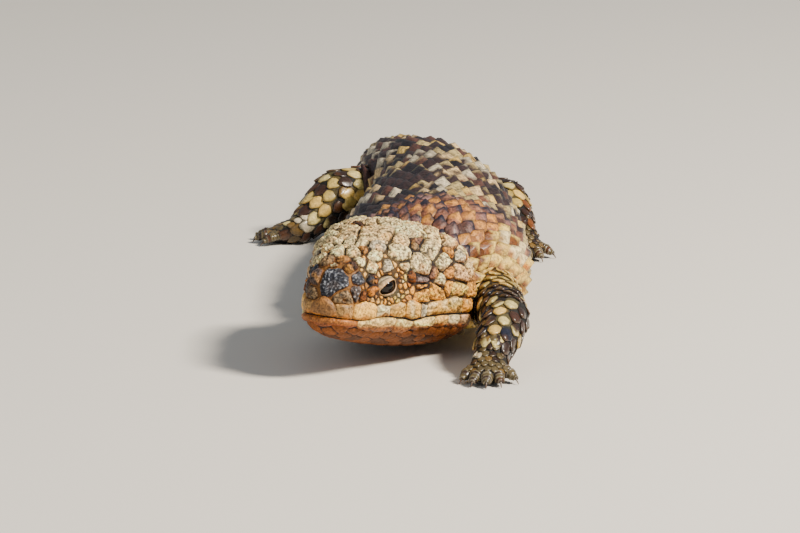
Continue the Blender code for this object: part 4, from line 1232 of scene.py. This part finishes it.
def layPlate(coat, seed, polygon, draw):
    spans = (polygon.max(0) - polygon.min(0)) / 2
    radius = float(spans.min())
    around = 2 * math.pi * math.sqrt((spans**2).mean())
    count = int(np.clip(around / 0.44, 12, 60))
    count += count % 2
    outline = rounded(polygon, count)
    centre = outline.mean(0)
    if seed.kind in ("crown", "slate", "bead"):
        ragged = noiseOver(seed.toSurface(outline)[0], 1.1, 9.0) * (0.35 if seed.kind == "bead" else 0.13)
        outline = centre + (outline - centre) * (1 + ragged[:, None])
    # rings: one under the plate, a few up its rim, then evenly to the middle
    heights = lipProfile if seed.kind == "lip" else plateProfile
    narrow = min(1.0, 2.0 / radius)
    steps = [0, 0.06 * narrow, 0.14 * narrow]
    steps += list(np.linspace(steps[-1], 1, max(3, round(0.86 * radius / 0.46)) + 1)[1:-1])
    lifted = np.interp(np.array(steps) / narrow, heights[:, 0], heights[:, 1])
    profile = [(0, -1)] + [(inset, float(lift)) for inset, lift in zip(steps, lifted)]
    rise = plateRise[seed.kind] * draw.uniform(0.8, 1.15)
    if seed.kind == "crown":
        rise *= float(np.interp(radius, [0.5, 3], headPlates["rise"]))
    tilt = headPlates["tilt"] * draw.uniform(0.4, 1.3) if seed.kind == "crown" else 0.04
    points, lifts, insets = [], [], []
    for inset, lift in profile:
        ring = centre + (outline - centre) * (1 - inset * radius / spans)
        points.append(ring)
        raised = rise * lift if lift > 0 else -headPlates["root"]
        lifts.append(np.full(count, raised) + tilt * (ring[:, 1] - centre[1]) * (lift > 0) * (inset > 0.02))
        insets.append(np.full(count, inset))
    points.append(centre[None, :])
    lifts.append(np.array([rise * heights[-1, 1]]))
    insets.append(np.ones(1))
    points, lifts, insets = np.concatenate(points), np.concatenate(lifts), np.concatenate(insets)
    placed, normals = seed.toSurface(points)
    nubs = headPlates["nubs"] * plateNubs[seed.kind]
    if seed.kind == "lip":
        nubs *= 0.25 if seed.d < 12.5 else 2.1   # smooth at the snout, rough behind
    bumps = np.zeros(len(placed))
    if nubs:
        grit = {"slate": 0.68, "lip": 0.9}.get(seed.kind, 0.82)
        cells = np.array([noise.voronoi(Vector(point) / grit)[0][0] for point in placed])
        bumps = nubs * (0.85 - 1.7 * np.minimum(cells, 1.0)) + nubs * 0.8 * noiseOver(placed, 0.55)
        bumps = bumps * smoothStep((insets + 0.04) / 0.14) * (lifts > 0)
    hollow = np.zeros(len(placed))
    if seed.kind == "nasal":
        away = np.linalg.norm(placed - seed.nostril, axis=1)
        hollow = smoothStep(1.7 - away / 0.5) * 1.1
    placed = placed + normals * (lifts + bumps - hollow)[:, None]
    faces = ringFaces(len(profile), count)
    last = (len(profile) - 1) * count
    faces += [(last + i, last + (i + 1) % count, last + count) for i in range(count)]
    faces.append(tuple(reversed(range(count))))
    tops = [placed[list(face)] for face in faces[-count - 1:-1]]
    facing = sum(np.cross(t[1] - t[0], t[2] - t[0]) @ normals[-1] for t in tops)
    if facing < 0:
        faces = [tuple(reversed(face)) for face in faces]
    tints = plateTint(draw, seed, (points - centre) / spans, insets, radius, bumps, hollow, placed)
    flat = (points - centre) / max(np.abs(outline - centre).max(), 1e-6)
    rim = np.where(np.arange(len(points)) < count, 1.18, 1.0)
    coat.add(placed, faces, tints, 0.46 + 0.36 * flat * rim[:, None], 0.93 + 0.05 * flat)


def plateTint(draw, seed, flat, insets, radius, bumps, hollow, placed):
    colour = linear(seed.tone)[None, :] * draw.uniform(0.86, 1.12)
    colour = colour * (1 + 0.4 * noiseOver(placed, 0.8, 3.0))[:, None]
    upward = seed.upward()
    height = flat @ (upward / max(np.linalg.norm(upward), 1e-6))
    patch = noiseOver(placed, 2.4, 6.0)
    if seed.kind in ("crown", "slate", "nasal"):
        # painted shade in the pits and painted highlight on the nubs, by each nub's height
        nubLift = bumps / (headPlates["nubs"] * plateNubs[seed.kind])
        if seed.kind == "slate":
            # painted glints on the slate's nubs
            colour = blend(colour, linear("slateGlint"), smoothStep((nubLift - 0.15) / 0.45) * 0.62)
        warm = linear("amberCream" if seed.kind == "crown" else "slateBrown")
        colour = blend(colour, warm, smoothStep(patch * 2.0 - 0.1) * 0.45)
        if seed.kind == "crown":
            colour = blend(colour, linear("brown"), smoothStep(-patch * 2.2 - 0.35) * 0.5)
        pitShadeNubHighlight = smoothStep((nubLift + 0.64) / 0.85)[:, None]
        colour = colour * (np.array((0.17, 0.17, 0.20)) + np.array((1.24, 1.22, 1.14)) * pitShadeNubHighlight)
    if seed.kind == "crown" and seed.arc > 17:
        # cheek plates turn orange towards their lower edge
        colour = blend(colour, linear("orange"), smoothStep(-height * 1.1 - 0.15 + 0.5 * patch) * 0.65)
    if seed.kind == "lip" and seed.sign < 0:
        edge = 0.75 if 6 < seed.d < 26 else 0.2
        colour = blend(colour, linear("lipOrange"), smoothStep(-height * 2.2 + edge + 0.4 * patch) * 0.9)
        colour = blend(colour, linear("chinBrown"), smoothStep(-height * 1.6 - 0.6 + 0.6 * patch) * 0.7)
    if seed.kind == "lip" and seed.sign > 0:
        # painted shade: amber towards the mouth edge
        colour = blend(colour, linear("amber"), smoothStep(-height * 1.3 - 0.35 + 1.3 * patch) * 0.85)
        colour = blend(colour, linear("amber"), smoothStep(height * 1.4 - 0.8 + 1.1 * patch) * 0.6)
        colour = blend(colour, linear("oliveTan"), smoothStep(patch * 1.8 - 0.4) * 0.35)
        # painted highlight: paler towards the top of the plates behind the snout
        if seed.d > 12.5:
            colour = blend(colour, linear("cream") * 1.1, smoothStep(height * 0.5 - patch * 1.8 - 0.1) * 0.5)
    if seed.kind == "lip":
        # painted shade in the pits of the lip plates
        nubLift = bumps / (headPlates["nubs"] * plateNubs["lip"])
        colour = colour * (0.36 + 0.82 * smoothStep((nubLift + 1.1) / 1.5))[:, None]
    if seed.kind == "nasal":
        # painted shade inside the nostril hollow
        colour = blend(colour, linear("chinOrange") * 0.5, smoothStep(hollow / 0.8))
    # painted shade along each plate's rim, where it dips into the groove
    rim = 1 - smoothStep(insets * radius / {"lip": 0.1, "crown": 0.36}.get(seed.kind, 0.26))
    atSnout = seed.kind in ("slate", "nasal") or seed.d < 7 and seed.kind == "crown"
    rim = rim * {"lip": 0.3, "bead": 0.45, "chin": 0.3}.get(seed.kind, 0.85)
    return np.clip(blend(colour, linear("orangeBrown" if atSnout else "groove"), rim), 0, 1)


def layHead(draw):
    seeds = headSeeds(draw)
    coats = {key: Coat(key) for key in ("crownPlates", "lipPlates", "chinPlates", "eyeBeads")}
    homes = {"lip": "lipPlates", "chin": "chinPlates", "bead": "eyeBeads"}
    for _ in range(2):
        # a plate left without room goes, and its neighbours grow into its place
        spots = np.array([seed.spot for seed in seeds])
        outlines = [outlineOf(seed, seeds, spots) for seed in seeds]
        seeds, outlines = zip(*[pair for pair in zip(seeds, outlines) if pair[1] is not None])
    for seed, outline in zip(seeds, outlines):
        layPlate(coats[homes.get(seed.kind, "crownPlates")], seed, outline, draw)
    return coats


# finishes
finishes = {
    "bodyGloss": {"roughness": 0.50, "coat": 0.10, "grain": 1300, "grainShare": 0.30, "pit": 850, "bump": 0.55,
                  "patch": 260, "fleck": 0.45, "fleckSize": 900},
    "limbGloss": {"roughness": 0.32, "coat": 0.40, "grain": 1700, "grainShare": 0.25, "pit": 900, "bump": 0.2,
                  "patch": 330, "fleck": 0.2, "fleckSize": 1100},
    "rugose": {"roughness": 0.66, "coat": 0.03, "grain": 1700, "grainShare": 0.40, "pit": 1000, "bump": 0.9,
               "patch": 420, "fleck": 0.75, "fleckSize": 1500},
    "lipHorn": {"roughness": 0.52, "coat": 0.08, "grain": 1600, "grainShare": 0.32, "pit": 1100, "bump": 0.7,
                "patch": 300, "fleck": 0.5, "fleckSize": 1500},
    "lipSatin": {"roughness": 0.66, "coat": 0.0, "grain": 1500, "grainShare": 0.25, "pit": 1100, "bump": 0.35,
                 "patch": 300, "fleck": 0.45, "fleckSize": 1500},
    "hide": {"roughness": 0.72, "coat": 0.02, "grain": 1400, "grainShare": 0.35, "pit": 1300, "bump": 0.6,
             "patch": 300, "fleck": 0.3, "fleckSize": 1500},
    "horn": {"roughness": 0.34, "coat": 0.25, "grain": 900, "grainShare": 0.30, "pit": 500, "bump": 0.15,
             "patch": 400, "fleck": 0.0, "fleckSize": 1500},
    "wetEye": {"roughness": 0.10, "coat": 0.0, "grain": 2500, "grainShare": 0.10, "pit": 2500, "bump": 0.0,
               "patch": 900, "fleck": 0.0, "fleckSize": 2500},
}


def makeFinish(name):
    look = finishes[name]
    material = bpy.data.materials.new(name)
    material.use_nodes = True
    tree = material.node_tree
    nodes, link = tree.nodes, tree.links.new
    shader = nodes["Principled BSDF"]
    place = nodes.new("ShaderNodeTexCoord").outputs["Object"]
    tint = nodes.new("ShaderNodeAttribute")
    tint.attribute_name = "tint"

    def setAll(node, values):
        for key, value in values.items():
            node.inputs[key].default_value = value
        return node

    def noiseAt(scale, detail, rough=0.55):
        node = setAll(nodes.new("ShaderNodeTexNoise"), {"Scale": scale, "Detail": detail, "Roughness": rough})
        link(place, node.inputs["Vector"])
        return node.outputs["Fac"]

    def spread(value, low, high, begin=0.3, end=0.7):
        node = setAll(nodes.new("ShaderNodeMapRange"),
                      {"From Min": begin, "From Max": end, "To Min": low, "To Max": high})
        link(value, node.inputs["Value"])
        return node.outputs["Result"]

    def combine(operation, one, other):
        node = nodes.new("ShaderNodeMath")
        node.operation = operation
        link(one, node.inputs[0])
        link(other, node.inputs[1])
        return node.outputs[0]

    fine = noiseAt(look["grain"], 4)
    shade = combine("MULTIPLY", spread(fine, 1 - look["grainShare"], 1 + look["grainShare"] * 0.7),
                    spread(noiseAt(look["patch"], 3), 0.82, 1.12))
    if look["fleck"]:
        # dark flecks sit in the pits of the horn
        flecks = spread(noiseAt(look["fleckSize"], 2, 0.7), 1.08, 1 - look["fleck"], 0.49, 0.60)
        shade = combine("MULTIPLY", shade, flecks)
    mix = nodes.new("ShaderNodeVectorMath")
    mix.operation = "SCALE"
    link(tint.outputs["Color"], mix.inputs[0])
    link(shade, mix.inputs["Scale"])
    link(mix.outputs[0], shader.inputs["Base Color"])
    link(spread(fine, look["roughness"] - 0.08, look["roughness"] + 0.14), shader.inputs["Roughness"])
    setAll(shader, {"Coat Weight": look["coat"], "Coat Roughness": 0.2, "Specular IOR Level": 0.35})
    if look["bump"]:
        pits = setAll(nodes.new("ShaderNodeTexVoronoi"), {"Scale": look["pit"]})
        link(place, pits.inputs["Vector"])
        bump = setAll(nodes.new("ShaderNodeBump"), {"Strength": look["bump"], "Distance": 0.0003})
        bump.invert = True
        link(combine("ADD", pits.outputs["Distance"], fine), bump.inputs["Height"])
        link(bump.outputs["Normal"], shader.inputs["Normal"])
    return material


looks = {name: makeFinish(name) for name in finishes}


draw = random.Random(setOut["seed"])
trunkCoats = layTrunk(draw)
limbCoatPiece, footCoat = layLimbs(draw)
fillBare(limbCoatPiece, [*trunkCoats.values(), limbCoatPiece, footCoat], draw)
for coat in trunkCoats.values():
    coat.finish(looks["bodyGloss"], "skin")
limbCoatPiece.finish(looks["limbGloss"], "limb")
footCoat.finish(looks["limbGloss"], "limb")
headCoats = layHead(draw)
headCoats["crownPlates"].finish(looks["rugose"], "head")
headCoats["eyeBeads"].finish(looks["lipHorn"], "head")
headCoats["lipPlates"].finish(looks["lipHorn"], "head")
headCoats["chinPlates"].finish(looks["lipSatin"], "jaw")


# the skin shows in the grooves: it takes the tint of the scale above it, darkened as painted shade in the grooves
skinTint = {
    "head": 0.14, "body": 0.16, "headEnds": (-2, 54), "headHalf": 27, "headBelow": -12,
    "mouthEnds": (-2, 50), "slit": 0.35, "slitFade": 0.7,
    "snoutEnds": (-3, 8.5), "snoutFade": 3, "snoutHalf": 12, "snoutAbove": 3.5,
    "darkest": 0.006,
}


def tintSkin(skin, coats):
    marks = [seed for coat in coats for seed in coat.seeds]
    tree = nearestTree([toScene(spot) for spot, _ in marks])
    places = placesOf(skin)
    colours = np.array([marks[tree.find(place)[1]][1] for place in places])
    d, across, up = ((places * 1000 - shift - snout) @ headAxes.T).T
    across = np.abs(across)
    mouth = lipLine(np.clip(d, 0, headLength))
    # painted shade: the inside of the mouth line is near black
    begin, end = skinTint["mouthEnds"]
    inMouth = 1 - smoothStep((np.abs(up - mouth) - skinTint["slit"]) / skinTint["slitFade"])
    inMouth = inMouth * (d > begin) * (d < end) * (across < skinTint["headHalf"])
    begin, end = skinTint["snoutEnds"]
    atSnout = smoothStep((end - d) / skinTint["snoutFade"]) * (d > begin)
    atSnout = atSnout * (across < skinTint["snoutHalf"]) * (up > mouth + skinTint["snoutAbove"])
    begin, end = skinTint["headEnds"]
    inHead = (d > begin) & (d < end) & (across < skinTint["headHalf"]) & (up > skinTint["headBelow"])
    # painted shade: the skin in the grooves is darkened
    dark = np.where(inHead[:, None], skinTint["head"], skinTint["body"])
    colours = blend(colours * dark, linear("orangeTan") * 0.3, atSnout)
    paint(skin, np.clip(blend(colours, linear("groove") * 0.4, inMouth), skinTint["darkest"], 1))


tintSkin(skin, [*trunkCoats.values(), limbCoatPiece, footCoat, *headCoats.values()])
print("skin tinted")


# eyes, sockets and lids
def pressSkin(skin, spot, radius, depth, outward):
    # pushes the skin in around a place
    for vertex in skin.data.vertices:
        away = np.array(vertex.co) * 1000 - shift - spot
        share = 1 - np.linalg.norm(away) / radius
        if share > 0:
            vertex.co -= Vector(outward * depth * float(smoothStep(share * 1.6)) / 1000)


def putPoints(piece, points):
    for vertex, place in zip(piece.data.vertices, toScene(points)):
        vertex.co = place
    piece.data.update()
    turnOutward(piece)
    piece.data.shade_smooth()


def makeEye(name, side):
    point, outward, backward, upward = sideFrame(head["eye"], side)
    centre = point - outward * head["eyeSink"] + backward * eyeBuild["slide"]
    axes = np.array([backward, upward, outward])
    deselectAll()
    bpy.ops.mesh.primitive_uv_sphere_add(segments=64, ring_count=48, radius=1)
    ball = bpy.context.view_layer.objects.active
    flat = placesOf(ball)
    away = np.hypot(flat[:, 0], flat[:, 1]) * head["eyeRadius"]
    # the cornea stands a little proud
    cornea = 1 + eyeBuild["corneaRise"] * np.exp(-((away / eyeBuild["corneaWidth"]) ** 2))
    bulge = np.where(flat[:, 2] > 0, cornea, 1)
    putPoints(ball, centre + (flat * head["eyeRadius"] * bulge[:, None]) @ axes)
    ball.name = ball.data.name = name
    turn = np.arctan2(flat[:, 1], flat[:, 0])
    streak = 0.75 + 0.25 * np.sin(turn * 23 + 3 * np.sin(turn * 7))
    iris = linear((26, 14, 10))[None, :] * streak[:, None]
    colour = blend(np.tile(linear((4, 3, 3)), (len(flat), 1)), iris, smoothStep((away - eyeBuild["pupil"]) / 0.14))
    colour = blend(colour, linear((9, 6, 5)), smoothStep((away - eyeBuild["iris"]) / 0.35))
    paint(ball, np.where(flat[:, 2:] > 0, colour, linear((9, 6, 5))))
    ball.data.materials.append(looks["wetEye"])
    settle(ball)
    return ball, centre, axes


def makeLids(name, centre, axes):
    section = np.array(eyeBuild["section"])
    deselectAll()
    bpy.ops.mesh.primitive_torus_add(major_segments=80, minor_segments=len(section), major_radius=2,
                                     minor_radius=0.5)
    ring = bpy.context.view_layer.objects.active
    flat = placesOf(ring)
    turn = np.arctan2(flat[:, 1], flat[:, 0])
    around = np.arctan2(flat[:, 2], np.hypot(flat[:, 0], flat[:, 1]) - 2)
    step = np.round((math.pi - around) / (2 * math.pi) * len(section)).astype(int) % len(section)
    share, lift = section[step, 0], section[step, 1]
    tilt = math.radians(eyeBuild["tilt"])
    # the opening is drawn out to its corners and slants up to the rear
    inner = np.stack([eyeBuild["halfLength"] * signedPower(np.cos(turn), 1.12),
                      eyeBuild["halfHeight"] * signedPower(np.sin(turn), 0.92)], -1)
    inner = inner @ np.array([[math.cos(tilt), math.sin(tilt)], [-math.sin(tilt), math.cos(tilt)]])
    angle = np.arctan2(inner[:, 1], inner[:, 0])
    inner[:, 1] -= eyeBuild["low"]
    outer = np.stack([np.cos(angle), np.sin(angle)], -1) * np.array(eyeBuild["outer"])
    spot = inner + (outer - inner) * share[:, None]
    away = np.linalg.norm(spot, axis=1)
    dome = np.sqrt(np.maximum(15.2 - away**2, 0.5)) - 1.05
    crinkle = 0.06 * np.sin(turn * 26 + 3 * np.sin(turn * 5)) * smoothStep((share - 0.5) / 0.2) * (lift > 0)
    putPoints(ring, centre + np.column_stack([spot, dome + lift + crinkle]) @ axes)
    ring.name = ring.data.name = name
    places = placesOf(ring) * 1000
    colour = linear("lid")[None, :] * (0.9 + 0.16 * noiseOver(places, 0.5))[:, None]
    colour = blend(colour, linear("pinkCream"), smoothStep((0.3 - np.abs(share - 0.22)) / 0.1) * 0.8)
    # painted shade in the groove between rim and skin, at the outer edge and under the lid's edge
    colour = blend(colour, linear("brown") * 0.6, smoothStep((0.1 - np.abs(share - 0.6)) / 0.05) * 0.7)
    colour = blend(colour, linear("brown") * 0.5, smoothStep((share - 0.88) / 0.08) * 0.8)
    paint(ring, blend(colour, linear("darkBrown") * 0.6, (share < 0.0) * 0.9))
    ring.data.materials.append(looks["lipSatin"])
    settle(ring)


for side, name in ((1, "Left"), (-1, "Right")):
    eye, centre, axes = makeEye("eye" + name, side)
    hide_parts("eye_left" if side > 0 else "eye_right")
    makeLids("lids" + name, centre, axes)
    pressSkin(skin, centre + axes[2] * 1.6, 3.6, 2.8, axes[2])
    earPoint, earOut, _, _ = sideFrame(head["ear"], side)
    pressSkin(skin, earPoint, 3.0, 2.6, earOut)
print("eyes set")


# claws, modelled once and set at the end of each digit
def modelClaw():
    deselectAll()
    bpy.ops.mesh.primitive_cone_add(vertices=12, radius1=1, radius2=0.3, depth=2, end_fill_type="TRIFAN")
    claw = bpy.context.view_layer.objects.active
    bpy.ops.object.mode_set(mode="EDIT")
    bpy.ops.mesh.select_all(action="SELECT")
    bpy.ops.mesh.subdivide(number_cuts=3)
    bpy.ops.object.mode_set(mode="OBJECT")
    turnOutward(claw)
    return takeShape(claw)


def setClaws(draw):
    points, faces = modelClaw()
    share = (points[:, 2] + 1) / 2
    allPoints, allFaces, colours = [], [], []
    for limb in limbs.values():
        for i in range(5):
            base, ahead, side, size = digitLine(limb, i)
            length, radius = foot["clawLength"], foot["clawRadius"] * draw.uniform(0.92, 1.06)
            start = base + ahead * (size * 1.03 - 0.7) + np.array((0, 0, 1.9))
            along = share * length
            drop = -foot["clawFall"] * share**2 + 0.2 * np.sin(share * math.pi)
            thin = (1 - foot["clawThin"] * share)[:, None]
            spots = (start + np.outer(along, ahead)
                     + np.outer(points[:, 0] * radius * foot["clawFlat"], side) * thin
                     + np.outer(points[:, 1] * radius, (0, 0, 1)) * thin + np.outer(drop, (0, 0, 1)))
            spots[:, 2] = np.maximum(spots[:, 2], 0.02)
            offset = sum(len(p) for p in allPoints)
            allPoints.append(spots)
            allFaces += [tuple(k + offset for k in face) for face in faces]
            tone = linear("horn") * draw.uniform(0.85, 1.15)
            colours.append(tone[None, :] * np.interp(share, [0, 0.5, 1], [0.8, 1.0, 1.5])[:, None])
    claws = meshPiece("claws", np.concatenate(allPoints), allFaces)
    turnOutward(claws)
    claws.data.shade_smooth()
    paint(claws, np.concatenate(colours))
    claws.data.materials.append(looks["horn"])
    settle(claws)


setClaws(draw)
print("claws set")

skin.data.materials.clear()
skin.data.materials.append(looks["hide"])
skin.data.shade_smooth()
settle(skin)
flesh = [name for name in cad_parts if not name.startswith("eye_")]
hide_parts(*flesh)


# floor, light and camera
studio = {
    "floorTone": (226, 222, 215), "worldColour": (0.86, 0.93, 1.0, 1), "worldStrength": 0.30,
    "aim": (0, -0.04, 0.02),
    # place, size, power, colour
    "lights": {"key": ((0.90, -0.50, 0.95), 0.25, 45, (1, 0.91, 0.78)),
               "fill": ((-0.9, -0.9, 0.7), 0.9, 3, (0.95, 0.97, 1))},
    "cameraDistance": 1600, "cameraHeightDegrees": 12.5, "lens": 230.4,
}


def setStage():
    deselectAll()
    bpy.ops.mesh.primitive_plane_add(size=8, location=(0, 1.5, 0))
    floor = bpy.context.view_layer.objects.active
    floor.name = "floor"
    material = bpy.data.materials.new("paleFloor")
    material.use_nodes = True
    shader = material.node_tree.nodes["Principled BSDF"]
    shader.inputs["Base Color"].default_value = (*linear(studio["floorTone"]), 1)
    shader.inputs["Roughness"].default_value = 0.8
    floor.data.materials.append(material)
    world = bpy.data.worlds.new("studio")
    bpy.context.scene.world = world
    world.use_nodes = True
    background = world.node_tree.nodes["Background"]
    background.inputs["Color"].default_value = studio["worldColour"]
    background.inputs["Strength"].default_value = studio["worldStrength"]
    for name, (place, size, power, colour) in studio["lights"].items():
        light = bpy.data.lights.new(name, "AREA")
        light.size, light.energy, light.color = size, power, colour
        item = bpy.data.objects.new(name, light)
        bpy.context.scene.collection.objects.link(item)
        item.location = place
        item.rotation_euler = (Vector(studio["aim"]) - Vector(place)).to_track_quat("-Z", "Y").to_euler()
    camera = bpy.data.cameras.new("camera")
    camera.lens, camera.sensor_width = studio["lens"], 36
    item = bpy.data.objects.new("camera", camera)
    bpy.context.scene.collection.objects.link(item)
    height = math.radians(studio["cameraHeightDegrees"])
    away = studio["cameraDistance"] / 1000
    item.location = (shift[0] / 1000, shift[1] / 1000 - away * math.cos(height), away * math.sin(height))
    item.rotation_euler = (math.pi / 2 - height, 0, 0)
    camera.clip_end = 50
    bpy.context.scene.camera = item


setStage()
